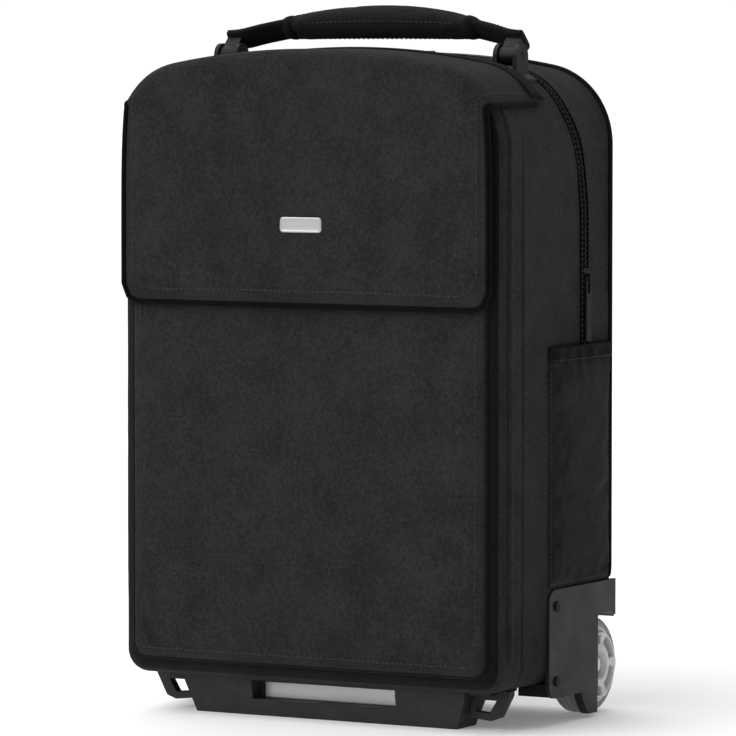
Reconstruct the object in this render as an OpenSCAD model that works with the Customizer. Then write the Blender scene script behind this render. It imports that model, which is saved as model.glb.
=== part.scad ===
// Pilot rolling flight case: a soft-sided upright case with a wrap-over front flap,
// a padded carry handle, a two-stage pull handle, two rear wheels and a front stand.
// Units are millimetres. The origin is on the floor under the middle of the case;
// +Z is up, -Y is the front and +X is to the right when facing the front.

/* [Case] */
// Width of the soft body from side to side
case_w = 336; // [316:1:366]
// Depth of the soft body from front to back
case_d = 190; // [180:1:220]
// Height of the crown of the top above the floor
case_top = 515; // [480:1:570]
// Height of the underside of the body above the floor
case_base = 31; // [31:1:36]
// Radius of the two top corners
corner_r = 60; // [52:1:66]
// Rise of the crowned top above its corners
crown_rise = 9; // [6:0.5:12]
// Thickness of the padded walls
wall = 5; // [4:0.5:6]
// Roundness of the front and back edges
edge_r = 12; // [8:1:14]

/* [Flap and front] */
// Width of the front flap
flap_w = 322; // [300:1:328]
// Height of the flap's lower edge above the floor
flap_bottom = 323; // [280:1:360]
// Thickness of the flap
flap_t = 4; // [3:0.5:5]
// Radius of the flap's lower corners
flap_corner_r = 14; // [8:1:22]
// Width of the raised front panel
panel_w = 313; // [290:1:316]
// Width of the blank name plate
badge_w = 37; // [30:1:50]

/* [Handles] */
// Distance between the pivots of the carry handle
carry_span = 250; // [230:1:256]
// Height of the grip above its pivots when it stands upright
carry_reach = 35; // [34:1:42]
// Backward lean of the carry handle at rest, in degrees
carry_lean = 43; // [38:1:46]
// Diameter of the padded grip
grip_dia = 26; // [22:1:26]
// Distance between the two pull-handle tubes
tube_gap = 124; // [110:1:130]

/* [Wheels and base] */
// Outside diameter of a wheel
wheel_dia = 76; // [74:1:80]
// Width of a wheel's tread
wheel_w = 22; // [20:1:24]
// Length of the front stand
stand_w = 250; // [230:1:256]
// Height of the side pockets' open edge
pocket_top = 290; // [240:1:320]

/* [Hidden] */
front_y = -(case_d / 2 + 4);
back_y = case_d / 2 - 4;
half_w = case_w / 2;
corner_x = half_w - corner_r;
crown_r = (corner_x * corner_x + crown_rise * crown_rise) / (2 * crown_rise);
crown_z = case_top - crown_r;
corner_z = crown_z + sqrt((crown_r - corner_r) * (crown_r - corner_r) - corner_x * corner_x);
crown_a = atan2(corner_z - crown_z, corner_x);
foot_r = 18;
shoulder_z = case_top - 38;

panel_t = 3.4;
flap_gap = 0.6;
flap_in_y = front_y - panel_t - flap_gap;
flap_out_y = flap_in_y - flap_t;
hinge_y = back_y - 111;
mouth_front_y = front_y + 9;
mouth_back_y = hinge_y - 10;
mouth_half_w = corner_x + 24;

eye_w = 13;
eye_r = 7.5;
eye_clearance = 2.3;
pivot_x = carry_span / 2;
pivot_y = hinge_y + 17;
pivot_z = max(case_top - 1, top_at(pivot_x - eye_w / 2) + eye_r + eye_clearance);
strap_t = 5;
zip_side_y = back_y - 56;
puller_clearance = 50;
zip_z = max(case_top - 180, pocket_top + puller_clearance);

bezel_y0 = back_y - 49;
zip_top_y = bezel_y0 - 27;
bezel_y1 = back_y - 7;
bezel_half_w = 84;
bezel_z = case_top - 26;
tube_y = back_y - 20.5;
tube_x = tube_gap / 2;
tube_foot_z = case_base + 31;
board_y = back_y - 33;

wheel_r = wheel_dia / 2;
wheel_y = back_y - 21;
wheel_x = half_w - 17;
well_r = wheel_r + 4;
well_x0 = wheel_x - wheel_w / 2 - 3.5;
well_x1 = wheel_x + wheel_w / 2 + 2.5;
housing_x0 = well_x0 - 8;
housing_y0 = wheel_y - well_r - 4;
housing_z1 = wheel_r + well_r + 6;
skin_x = half_w + 3.4;
skin_y0 = front_y + 74;
skin_z1 = 105;

pocket_y0 = front_y + 74;
pocket_y1 = back_y - edge_r - 1;
pocket_out = 7.5;
stand_y0 = front_y + 23;
stand_y1 = stand_y0 + 38;

fabric_c = [0.13, 0.13, 0.135];
trim_c = [0.05, 0.05, 0.055];
plastic_c = [0.09, 0.09, 0.085];
guard_c = [0.16, 0.16, 0.145];
steel_c = [0.72, 0.73, 0.74];
lining_c = [0.25, 0.26, 0.28];
hub_c = [0.62, 0.63, 0.63];

// ---- outlines shared by the soft pieces -------------------------------------------

// Points of an arc in the X-Z plane
function arc(cx, cz, r, a0, a1, n) =
  [for (i = [0:n]) [cx + r * cos(a0 + (a1 - a0) * i / n), cz + r * sin(a0 + (a1 - a0) * i / n)]];

// Height of the top of the case at a distance x from its middle
function top_at(x) =
  x <= crown_r * cos(crown_a)
  ? crown_z + sqrt(crown_r * crown_r - x * x)
  : corner_z + sqrt(max(0, corner_r * corner_r - (x - corner_x) * (x - corner_x)));

// Front-view outline of the case, drawn inwards by inset (outwards when negative)
function case_outline(inset) = concat(
  arc(half_w - inset - max(foot_r - inset, 1), case_base + inset + max(foot_r - inset, 1),
    max(foot_r - inset, 1), -90, 0, 6),
  arc(corner_x, corner_z, corner_r - inset, 0, crown_a, 10),
  arc(0, crown_z, crown_r - inset, crown_a + 1.5, 178.5 - crown_a, 12),
  arc(-corner_x, corner_z, corner_r - inset, 180 - crown_a, 180, 10),
  arc(-(half_w - inset - max(foot_r - inset, 1)), case_base + inset + max(foot_r - inset, 1),
    max(foot_r - inset, 1), 180, 270, 6)
);

// Extrudes a front-view shape backwards from y0 to y1
module along_y(y0, y1) {
  translate([0, y1, 0])
    rotate([90, 0, 0])
      linear_extrude(height = y1 - y0)
        children();
}

// Extrudes a side-view shape (drawn in Y-Z) from x0 to x1
module along_x(x0, x1) {
  translate([x0, 0, 0])
    rotate([90, 0, 90])
      linear_extrude(height = x1 - x0)
        children();
}

// Round bar along X
module bar_x(x0, x1, y, z, r) {
  translate([x0, y, z])
    rotate([0, 90, 0])
      cylinder(h = x1 - x0, r = r, $fn = 64);
}

// Rectangle with round corners, centred on x and starting at z0
module rounded_rect(w, z0, z1, r) {
  for (x = [-w / 2 + r, w / 2 - r], z = [z0 + r, z1 - r])
    translate([x, z])
      circle(r = r, $fn = 32);
  translate([-w / 2 + r, z0])
    square([w - 2 * r, z1 - z0]);
  translate([-w / 2, z0 + r])
    square([w, z1 - z0 - 2 * r]);
}

// Box given by its low and high corners
module block(low, high) {
  translate(low)
    cube(high - low);
}

module mirrored() {
  children();
  mirror([1, 0, 0])
    children();
}

// Soft body with rounded front and back edges, pulled in by inset all round
module soft_body(inset) {
  e = edge_r;
  hull() {
    along_y(front_y + inset, front_y + inset + 0.5)
      polygon(case_outline(inset + e));
    along_y(front_y + inset + e * 0.13, front_y + inset + e * 0.2)
      polygon(case_outline(inset + e * 0.5));
    along_y(front_y + inset + e * 0.5, front_y + inset + e * 0.6)
      polygon(case_outline(inset + e * 0.134));
    along_y(front_y + inset + e, back_y - inset - e)
      polygon(case_outline(inset));
    along_y(back_y - inset - e * 0.6, back_y - inset - e * 0.5)
      polygon(case_outline(inset + e * 0.134));
    along_y(back_y - inset - e * 0.2, back_y - inset - e * 0.13)
      polygon(case_outline(inset + e * 0.5));
    along_y(back_y - inset - 0.5, back_y - inset)
      polygon(case_outline(inset + e));
  }
}

// Space under the wheel housing that the soft body leaves free, on one side
module corner_notch() {
  block([housing_x0, housing_y0, 0], [half_w + 20, back_y + 20, housing_z1]);
}

// ---- soft body ---------------------------------------------------------------------

module shell() {
  color(fabric_c)
    difference() {
      soft_body(0);
      difference() {
        soft_body(wall);
        mirrored()
          block([housing_x0 - 4, housing_y0 - 4, 0], [half_w, back_y, housing_z1 + 4]);
      }
      mirrored()
        corner_notch();
      block([-mouth_half_w, mouth_front_y, corner_z], [mouth_half_w, mouth_back_y, case_top + 5]);
      block([-bezel_half_w, bezel_y0, bezel_z], [bezel_half_w, bezel_y1, case_top + 5]);
    }
}

module front_panel() {
  color(fabric_c)
    difference() {
      hull() {
        along_y(front_y - 1, front_y)
          rounded_rect(panel_w, case_base + 13, case_top - 50, 12);
        along_y(front_y - panel_t, front_y - panel_t + 0.4)
          rounded_rect(panel_w - 5, case_base + 15.5, case_top - 52.5, 9.5);
      }
      magnet_discs(front_y - panel_t - 1, front_y - panel_t + 2);
    }
}

module magnet_discs(y0, y1) {
  mirrored()
    translate([100, y1, flap_bottom + 24])
      rotate([90, 0, 0])
        cylinder(h = y1 - y0, r = 9, $fn = 48);
}

module panel_magnets() {
  color(steel_c)
    magnet_discs(front_y - panel_t, front_y - panel_t + 2);
}

module document_divider() {
  color(lining_c)
    along_y(front_y + 18, front_y + 20)
      intersection() {
        polygon(case_outline(wall));
        translate([-case_w / 2, 0])
          square([case_w, corner_z]);
      }
}

module base_board() {
  color(lining_c)
    block([-housing_x0 + 6, front_y + 22, case_base + wall],
      [housing_x0 - 6, board_y - 2, case_base + wall + 3]);
}

module back_board() {
  color(lining_c)
    along_y(board_y, board_y + 2.5)
      difference() {
        intersection() {
          polygon(case_outline(wall + 0.2));
          translate([-half_w, 0])
            square([case_w, bezel_z - 2]);
        }
        mirrored()
          translate([housing_x0 - 6, 0])
            square([half_w, housing_z1 + 6]);
      }
}

// Cord sewn round the body between two insets of its outline
module piping_ring(y0, y1, out) {
  along_y(y0, y1)
    difference() {
      polygon(case_outline(-out));
      polygon(case_outline(0));
    }
}

module front_piping() {
  color(trim_c)
    intersection() {
      piping_ring(front_y + edge_r, front_y + edge_r + 4, 2);
      block([-half_w - 5, front_y, case_base + foot_r + 4],
        [half_w + 5, back_y, shoulder_z - 3]);
    }
}

module rear_piping() {
  color(trim_c)
    intersection() {
      piping_ring(back_y - edge_r - 0.5, back_y - edge_r + 3.5, 2);
      difference() {
        block([-half_w - 5, front_y, skin_z1 + 1], [half_w + 5, back_y, case_top + 5]);
        block([-bezel_half_w - 0.5, front_y, bezel_z], [bezel_half_w + 0.5, back_y, case_top + 6]);
      }
    }
}

// Side-view path of the zip: straight up the side, then leaning forward over the shoulder
module zip_path(half_tape) {
  bend_z = zip_z + 62;
  lean_z = shoulder_z - 6;
  polygon([
    [zip_side_y - half_tape, pocket_top + 0.5],
    [zip_side_y + half_tape, pocket_top + 0.5],
    [zip_side_y + half_tape, bend_z],
    [zip_side_y + half_tape - 5, bend_z + (lean_z - bend_z) * 0.5],
    [zip_top_y + half_tape, lean_z],
    [zip_top_y + half_tape, case_top + 5],
    [zip_top_y - half_tape, case_top + 5],
    [zip_top_y - half_tape, lean_z],
    [zip_side_y - half_tape - 5, bend_z + (lean_z - bend_z) * 0.5],
    [zip_side_y - half_tape, bend_z]
  ]);
}

module zip_tape() {
  color(trim_c)
    intersection() {
      piping_ring(front_y + edge_r, back_y - edge_r, 1.2);
      along_x(-half_w - 5, half_w + 5)
        zip_path(6);
    }
}

module pocket_solid() {
  difference() {
    hull() {
      block([half_w, pocket_y0, skin_z1 + 1], [half_w + 2, pocket_y1, pocket_top]);
      block([half_w, pocket_y0 + 3, skin_z1 + 4],
        [half_w + pocket_out, pocket_y1 - 3, pocket_top]);
    }
    block([half_w - 1, pocket_y0 + 4, skin_z1 + 6],
      [half_w + pocket_out - 1.8, pocket_y1 - 4, pocket_top + 1]);
  }
}

module side_pocket_right() {
  color(fabric_c)
    pocket_solid();
}

module side_pocket_left() {
  color(fabric_c)
    mirror([1, 0, 0])
      pocket_solid();
}

module pocket_hems() {
  color(trim_c)
    mirrored()
      block([half_w + pocket_out, pocket_y0 + 3, pocket_top - 12],
        [half_w + pocket_out + 0.9, pocket_y1 - 3, pocket_top]);
}

module flap_hinge_strip() {
  color(trim_c)
    intersection() {
      piping_ring(hinge_y + 0.8, hinge_y + 6, 1);
      block([-half_w, front_y, shoulder_z], [half_w, back_y, case_top + 5]);
    }
}

module mouth_binding() {
  color(trim_c)
    intersection() {
      along_y(front_y + 5, hinge_y - 4)
        polygon(case_outline(0));
      difference() {
        block([-mouth_half_w, mouth_front_y, corner_z + 20],
          [mouth_half_w, mouth_back_y, case_top]);
        block([-mouth_half_w + 1.6, mouth_front_y + 1.6, corner_z],
          [mouth_half_w - 1.6, mouth_back_y - 1.6, case_top + 5]);
      }
      difference() {
        block([-half_w, front_y, corner_z], [half_w, back_y, case_top + 5]);
        along_y(front_y, back_y)
          polygon(case_outline(wall));
      }
    }
}

// ---- flap --------------------------------------------------------------------------

// Front-view window that gives the flap its straight sides and rounded lower corners
module flap_window(grow) {
  rounded_rect(flap_w + 2 * grow, flap_bottom - grow, case_top + 60, flap_corner_r + grow);
}

module flap_face(grow) {
  intersection() {
    polygon(case_outline(-flap_gap - flap_t - grow));
    flap_window(grow);
  }
}

module flap() {
  color(fabric_c)
    difference() {
      union() {
        hull() {
          along_y(flap_in_y - 1, flap_in_y)
            flap_face(0);
          along_y(flap_out_y, flap_out_y + 0.4)
            flap_face(-2.4);
        }
        intersection() {
          along_y(flap_in_y - 0.5, hinge_y - 0.6)
            difference() {
              polygon(case_outline(-flap_gap - flap_t));
              polygon(case_outline(-flap_gap));
            }
          block([-half_w - 9, flap_in_y - 1, shoulder_z], [half_w + 9, hinge_y, case_top + 9]);
        }
      }
      magnet_discs(flap_in_y - 2, flap_in_y + 1);
    }
}

module flap_piping() {
  color(trim_c)
    along_y(flap_in_y - 2.6, flap_in_y - 0.6)
      difference() {
        flap_face(1.5);
        flap_face(0);
      }
}

module flap_magnets() {
  color(steel_c)
    magnet_discs(flap_in_y - 2, flap_in_y);
}

module badge() {
  color(steel_c)
    along_y(flap_out_y - 1.2, flap_out_y)
      rounded_rect(badge_w, case_top - 136, case_top - 124, 3);
}

// ---- carry handle ------------------------------------------------------------------

// Places upright handle geometry at its rest lean
module leaned() {
  translate([0, pivot_y, pivot_z])
    rotate([-carry_lean, 0, 0])
      children();
}

module bracket_one(x) {
  difference() {
    union() {
      for (e = [-10.5, 7])
        bar_x(x + e, x + e + 3.5, pivot_y, pivot_z, 9.5);
      for (e = [-10.5, 7])
        block([x + e, pivot_y - 9.5, corner_z], [x + e + 3.5, pivot_y + 9.5, pivot_z]);
      intersection() {
        along_y(pivot_y - 9, pivot_y + 9)
          difference() {
            polygon(case_outline(-2));
            polygon(case_outline(0));
          }
        block([x - 20, pivot_y - 9, corner_z], [x + 18, pivot_y + 9, case_top + 9]);
      }
    }
    along_y(pivot_y - 10, pivot_y + 10)
      polygon(case_outline(0));
    bar_x(x - 12, x + 12, pivot_y, pivot_z, 3);
  }
}

module handle_brackets() {
  color(plastic_c)
    mirrored()
      bracket_one(pivot_x);
}

module bracket_rivets() {
  color(steel_c)
    mirrored()
      intersection() {
        translate([pivot_x - 15.5, pivot_y, case_top - 30])
          cylinder(h = 40, r = 3, $fn = 32);
        along_y(pivot_y - 10, pivot_y + 10)
          difference() {
            polygon(case_outline(-3));
            polygon(case_outline(-2));
          }
      }
}

module pivot_pins() {
  color(steel_c)
    mirrored()
      bar_x(pivot_x - 10.5, pivot_x + 10.5, pivot_y, pivot_z, 3);
}

module carry_eyes() {
  color(plastic_c)
    leaned()
      mirrored()
        difference() {
          union() {
            bar_x(pivot_x - eye_w / 2, pivot_x + eye_w / 2, 0, 0, eye_r);
            block([pivot_x - eye_w / 2, -6, 0], [pivot_x + eye_w / 2, 6, 13.5]);
          }
          bar_x(pivot_x - 8, pivot_x + 8, 0, 0, 3.08);
        }
}

module carry_strap() {
  color(trim_c)
    leaned()
      mirrored()
        along_y(-9, 9)
          polygon([
            [0, carry_reach - strap_t / 2], [84, carry_reach - strap_t / 2], [pivot_x - 6, 14.5],
            [pivot_x + eye_w / 2, 13.5], [pivot_x + eye_w / 2, 13.5 + strap_t],
            [pivot_x - 4, 15.5 + strap_t], [86, carry_reach + strap_t / 2],
            [0, carry_reach + strap_t / 2]
          ]);
}

module carry_grip() {
  color(trim_c)
    leaned()
      difference() {
        union() {
          bar_x(-78, 78, 0, carry_reach, grip_dia / 2);
          bar_x(-84, 84, 0, carry_reach, grip_dia / 2 - 1.5);
        }
        block([-90, -9, carry_reach - strap_t / 2], [90, 9, carry_reach + strap_t / 2]);
      }
}

// ---- pull handle -------------------------------------------------------------------

// Pair of tubes, one on each side
module tube_pair(z0, z1, ro, ri) {
  mirrored()
    translate([tube_x, tube_y, z0])
      difference() {
        cylinder(h = z1 - z0, r = ro, $fn = 64);
        translate([0, 0, -1])
          cylinder(h = z1 - z0 + 2, r = ri, $fn = 64);
      }
}

module trolley_bezel() {
  color(plastic_c)
    difference() {
      intersection() {
        along_y(bezel_y0, bezel_y1)
          polygon(case_outline(-1.2));
        block([-bezel_half_w, bezel_y0, bezel_z], [bezel_half_w, bezel_y1, case_top + 5]);
      }
      block([-bezel_half_w + 4, bezel_y0 + 3, bezel_z + 4],
        [bezel_half_w - 4, bezel_y1 - 3, case_top + 9]);
      mirrored()
        translate([tube_x, tube_y, bezel_z - 1])
          cylinder(h = 8, r = 8.4, $fn = 64);
    }
}

module fixed_tubes() {
  color(steel_c)
    tube_pair(tube_foot_z, bezel_z, 9.5, 8.6);
}

module tube_sockets() {
  color(plastic_c)
    mirrored()
      difference() {
        block([tube_x - 14, board_y + 2.5, case_base + 19],
          [tube_x + 14, back_y - wall - 0.5, tube_foot_z + 12]);
        translate([tube_x, tube_y, tube_foot_z])
          cylinder(h = 40, r = 9.5, $fn = 64);
      }
}

module stage_one_tubes() {
  color(steel_c)
    tube_pair(tube_foot_z + 8, case_top - 18, 8.1, 7.1);
}

module stage_one_collars() {
  color(plastic_c)
    mirrored()
      translate([tube_x, tube_y, bezel_z + 4.3])
        difference() {
          cylinder(h = 4.7, r = 9.8, $fn = 64);
          translate([0, 0, -1])
            cylinder(h = case_top - 18 - bezel_z - 4.3 + 1, r = 8.1, $fn = 64);
          translate([0, 0, -1])
            cylinder(h = 9, r = 7, $fn = 64);
        }
}

module stage_two_tubes() {
  color(steel_c)
    tube_pair(tube_foot_z + 16, case_top - 12, 6.7, 5.7);
}

module lock_blocks() {
  color(plastic_c)
    mirrored()
      translate([tube_x, tube_y, tube_foot_z + 16])
        cylinder(h = 14, r = 5.7, $fn = 48);
}

module trolley_grip() {
  grip_z = case_top - 16.6;
  color(plastic_c)
    difference() {
      intersection() {
        along_y(tube_y - 11, tube_y + 10)
          polygon(case_outline(-1.5));
        block([-bezel_half_w + 7, tube_y - 11, grip_z], [bezel_half_w - 7, tube_y + 10, case_top + 5]);
      }
      block([-tube_x - 5, tube_y - 6, case_top - 12], [tube_x + 5, tube_y + 6, case_top - 3.6]);
      block([-17, tube_y - 6, case_top - 6], [17, tube_y + 6, case_top + 6]);
      translate([0, tube_y, case_top - 15.4])
        cylinder(h = 6, r = 4.6, $fn = 48);
      mirrored()
        translate([tube_x, tube_y, grip_z - 1])
          cylinder(h = 6, r = 6.7, $fn = 64);
    }
}

module release_button() {
  color(plastic_c)
    block([-16.4, tube_y - 5.4, case_top - 5], [16.4, tube_y + 5.4, case_top + 2.6]);
}

module release_yoke() {
  color(steel_c) {
    block([-tube_x - 3, tube_y - 3.4, case_top - 8], [tube_x + 3, tube_y + 3.4, case_top - 5]);
    mirrored()
      translate([tube_x, tube_y, tube_foot_z + 34])
        cylinder(h = case_top - 8 - tube_foot_z - 34, r = 2, $fn = 32);
  }
}

module button_spring() {
  color(steel_c)
    translate([0, tube_y, case_top - 15.4])
      linear_extrude(height = 7.2, twist = -1080, slices = 54)
        polygon(concat(arc(0, 0, 3.7, 0, 130, 7), arc(0, 0, 2.9, 130, 0, 7)));
}

module back_rails() {
  color(guard_c)
    mirrored()
      hull() {
        block([86, back_y, 70], [104, back_y + 1, 300]);
        block([90, back_y, 78], [100, back_y + 5, 290]);
      }
}

// ---- wheels ------------------------------------------------------------------------

// Side-view shape of the housing's outer wall, with its rounded fender lobe
module guard_side() {
  translate([skin_y0 + 10, 31])
    square([back_y - 4 - skin_y0 - 10, skin_z1 - 31]);
  translate([skin_y0, 31])
    square([40, skin_z1 - 41]);
  translate([skin_y0 + 10, skin_z1 - 10])
    circle(r = 10, $fn = 32);
  translate([skin_y0 + 10, 21])
    square([back_y - 4 - skin_y0 - 10, 12]);
  translate([skin_y0 + 10, 31])
    circle(r = 10, $fn = 32);
  intersection() {
    translate([wheel_y, wheel_r])
      circle(r = well_r + 3, $fn = 64);
    translate([wheel_y - 60, 3])
      square([46, 60]);
  }
}

module housing_solid() {
  difference() {
    union() {
      along_x(half_w, skin_x)
        guard_side();
      block([housing_x0, housing_y0, 21], [half_w, back_y - 4, housing_z1]);
      block([housing_x0, back_y - 4, 60], [half_w, back_y, housing_z1]);
      block([half_w - 30, skin_y0 + 12, 21], [half_w, housing_y0, case_base]);
      intersection() {
        along_x(well_x1, half_w)
          guard_side();
        block([0, housing_y0, 0], [half_w, wheel_y - 14, 30]);
      }
    }
    difference() {
      union() {
        bar_x(well_x0, well_x1, wheel_y, wheel_r, well_r);
        block([well_x0, wheel_y - well_r, -1], [well_x1, wheel_y, wheel_r]);
        block([well_x0, wheel_y, -1], [well_x1, back_y + 30, wheel_r + well_r - 8]);
      }
    }
    intersection() {
      bar_x(well_x1 - 1, skin_x + 1, wheel_y, wheel_r, well_r);
      block([well_x1 - 1, wheel_y - 13, -1], [skin_x + 1, back_y + 30, 200]);
    }
    block([well_x1 - 1, wheel_y - 13, -1], [skin_x + 1, back_y + 30, wheel_r]);
    block([well_x1 - 1, wheel_y + 12, -1], [skin_x + 1, back_y + 30, wheel_r + well_r - 10]);
    bar_x(housing_x0 - 1, well_x0 + 1, wheel_y, wheel_r, 4);
    for (z = [34, 92])
      bar_x(half_w - 8, skin_x + 1, skin_y0 + 12, z, 2);
  }
}

module wheel_housing_right() {
  color(guard_c)
    housing_solid();
}

module wheel_housing_left() {
  color(guard_c)
    mirror([1, 0, 0])
      housing_solid();
}

module housing_screws() {
  color(steel_c)
    mirrored()
      for (z = [34, 92]) {
        bar_x(half_w, skin_x, skin_y0 + 12, z, 2);
        bar_x(skin_x, skin_x + 1.6, skin_y0 + 12, z, 4);
      }
}

module axles() {
  color(steel_c)
    mirrored() {
      bar_x(housing_x0, wheel_x + wheel_w / 2 + 0.4, wheel_y, wheel_r, 4);
      bar_x(wheel_x + wheel_w / 2 + 0.4, wheel_x + wheel_w / 2 + 2, wheel_y, wheel_r, 6);
    }
}

module tyre() {
  translate([wheel_x, wheel_y, wheel_r])
    rotate([0, 90, 0])
      rotate_extrude($fn = 96)
        polygon([
          [wheel_r - 7, -wheel_w / 2], [wheel_r - 3, -wheel_w / 2], [wheel_r, -wheel_w / 2 + 4],
          [wheel_r, wheel_w / 2 - 4], [wheel_r - 3, wheel_w / 2], [wheel_r - 7, wheel_w / 2]
        ]);
}

module hub() {
  difference() {
    union() {
      difference() {
        bar_x(wheel_x - wheel_w / 2, wheel_x + wheel_w / 2, wheel_y, wheel_r, wheel_r - 7);
        bar_x(wheel_x - wheel_w, wheel_x + wheel_w, wheel_y, wheel_r, wheel_r - 11);
      }
      bar_x(wheel_x - wheel_w / 2, wheel_x + wheel_w / 2, wheel_y, wheel_r, 14);
      for (a = [0:72:359])
        translate([wheel_x, wheel_y, wheel_r])
          rotate([a, 0, 0])
            block([-6, -4, 12], [wheel_w / 2 - 2, 4, wheel_r - 9]);
    }
    bar_x(wheel_x - wheel_w, wheel_x + wheel_w, wheel_y, wheel_r, 9);
    bar_x(wheel_x - wheel_w, wheel_x - wheel_w / 2 + 7, wheel_y, wheel_r, 11);
    bar_x(wheel_x + wheel_w / 2 - 7, wheel_x + wheel_w, wheel_y, wheel_r, 11);
  }
}

module bearings() {
  for (x = [wheel_x - wheel_w / 2, wheel_x + wheel_w / 2 - 7])
    difference() {
      bar_x(x, x + 7, wheel_y, wheel_r, 11);
      bar_x(x - 1, x + 8, wheel_y, wheel_r, 4.06);
    }
}

module tyre_right() {
  color(plastic_c)
    tyre();
}

module hub_right() {
  color(hub_c)
    hub();
}

module bearings_right() {
  color(steel_c)
    bearings();
}

module tyre_left() {
  color(plastic_c)
    mirror([1, 0, 0])
      tyre();
}

module hub_left() {
  color(hub_c)
    mirror([1, 0, 0])
      hub();
}

module bearings_left() {
  color(steel_c)
    mirror([1, 0, 0])
      bearings();
}

// ---- front stand -------------------------------------------------------------------

module stand() {
  color(plastic_c)
    difference() {
      union() {
        hull() {
          block([-stand_w / 2, stand_y0, 24], [stand_w / 2, stand_y1, case_base]);
          block([-stand_w / 2 + 9, stand_y0 + 4, 0], [stand_w / 2 - 9, stand_y1 - 3, 1]);
        }
        block([-stand_w / 2 - 20, stand_y0 + 4, case_base - 4],
          [stand_w / 2 + 20, stand_y1 + 10, case_base]);
      }
      block([-64, stand_y0 - 5, 13], [64, stand_y0 + 14, case_base - 3]);
      block([-60, stand_y0 + 14, -1], [60, stand_y1 - 6, case_base - 4]);
      for (x = [-stand_w / 2 - 13, stand_w / 2 + 13])
        translate([x, stand_y1 + 4, case_base - 6])
          cylinder(h = 8, r = 2, $fn = 32);
    }
}

module stand_bar() {
  color(steel_c)
    block([-60, stand_y0 + 14, 13], [60, stand_y0 + 18, case_base - 5]);
}

module loop_one() {
  y0 = stand_y0 + 12;
  along_y(y0, y0 + 8)
    difference() {
      polygon([
        [stand_w / 2 - 2, 9], [stand_w / 2 + 16, 7], [stand_w / 2 + 24, 10],
        [stand_w / 2 + 33, case_base - 4], [stand_w / 2 + 33, case_base],
        [stand_w / 2 + 20, case_base], [stand_w / 2 + 20, case_base - 4],
        [stand_w / 2 - 2, case_base - 4]
      ]);
      polygon([
        [stand_w / 2 + 3, 14], [stand_w / 2 + 15, 13], [stand_w / 2 + 21, case_base - 8],
        [stand_w / 2 + 3, case_base - 8]
      ]);
    }
}

module foot_loops() {
  color(plastic_c)
    difference() {
      mirrored()
        loop_one();
      hull() {
        block([-stand_w / 2, stand_y0, 24], [stand_w / 2, stand_y1, case_base]);
        block([-stand_w / 2 + 9, stand_y0 + 4, 0], [stand_w / 2 - 9, stand_y1 - 3, 1]);
      }
      soft_body(0);
    }
}

module stand_screws() {
  color(steel_c)
    for (x = [-stand_w / 2 - 13, stand_w / 2 + 13])
      translate([x, stand_y1 + 4, case_base - 5.6]) {
        cylinder(h = 5.6, r = 2, $fn = 32);
        cylinder(h = 1.6, r = 4, $fn = 32);
      }
}

// ---- zip slider --------------------------------------------------------------------

module zip_slider() {
  color(steel_c)
    difference() {
      union() {
        block([half_w + 1.6, zip_side_y - 4, zip_z - 2], [half_w + 3.4, zip_side_y + 4, zip_z + 10]);
        block([half_w + 3.4, zip_side_y - 1, zip_z], [half_w + 7.4, zip_side_y + 1, zip_z + 6]);
      }
      translate([half_w + 5.2, zip_side_y, zip_z + 3])
        rotate([90, 0, 0])
          cylinder(h = 6, r = 1.45, center = true, $fn = 32);
    }
}

module zip_puller() {
  color(steel_c) {
    translate([half_w + 5.2, zip_side_y, zip_z + 3])
      rotate([90, 0, 0])
        cylinder(h = 8, r = 1.1, center = true, $fn = 32);
    difference() {
      block([half_w + 4.4, zip_side_y - 4, zip_z - 46], [half_w + 6, zip_side_y + 4, zip_z + 3]);
      block([half_w + 3, zip_side_y - 2, zip_z - 9], [half_w + 7, zip_side_y + 2, zip_z + 4]);
    }
  }
}

shell();
front_panel();
document_divider();
base_board();
back_board();
front_piping();
rear_piping();
zip_tape();
side_pocket_right();
side_pocket_left();
pocket_hems();
flap_hinge_strip();
mouth_binding();
panel_magnets();
handle_brackets();
bracket_rivets();
pivot_pins();
trolley_bezel();
fixed_tubes();
tube_sockets();
back_rails();
wheel_housing_right();
wheel_housing_left();
housing_screws();
axles();
stand();
stand_bar();
foot_loops();
stand_screws();
flap();
flap_piping();
flap_magnets();
badge();
carry_grip();
carry_strap();
carry_eyes();
stage_one_tubes();
stage_one_collars();
stage_two_tubes();
lock_blocks();
trolley_grip();
button_spring();
release_button();
release_yoke();
tyre_right();
hub_right();
bearings_right();
tyre_left();
hub_left();
bearings_left();
zip_slider();
zip_puller();
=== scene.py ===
import math

import bpy
import numpy as np
from bpy.props import FloatProperty, FloatVectorProperty, PointerProperty
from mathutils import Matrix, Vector, noise
from mathutils.bvhtree import BVHTree


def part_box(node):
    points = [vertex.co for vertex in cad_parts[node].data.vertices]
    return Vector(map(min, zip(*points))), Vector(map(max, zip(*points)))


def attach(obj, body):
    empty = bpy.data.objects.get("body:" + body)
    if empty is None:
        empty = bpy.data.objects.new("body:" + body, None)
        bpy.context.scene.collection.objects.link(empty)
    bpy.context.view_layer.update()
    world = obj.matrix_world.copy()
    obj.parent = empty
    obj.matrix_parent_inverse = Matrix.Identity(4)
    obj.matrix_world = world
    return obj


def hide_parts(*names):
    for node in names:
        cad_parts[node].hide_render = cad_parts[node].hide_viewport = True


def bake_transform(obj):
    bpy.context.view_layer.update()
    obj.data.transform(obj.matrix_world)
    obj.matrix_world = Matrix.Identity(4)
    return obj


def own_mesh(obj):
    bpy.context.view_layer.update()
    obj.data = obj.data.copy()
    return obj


bl_info = {
    "name": "Rolling flight case",
    "version": (1, 0, 0),
    "blender": (4, 5, 0),
    "location": "3D View > Sidebar > Flight case",
    "description": "Soft goods, trims, hardware finishes and stage of a rolling flight case",
    "category": "Object",
}

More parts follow.
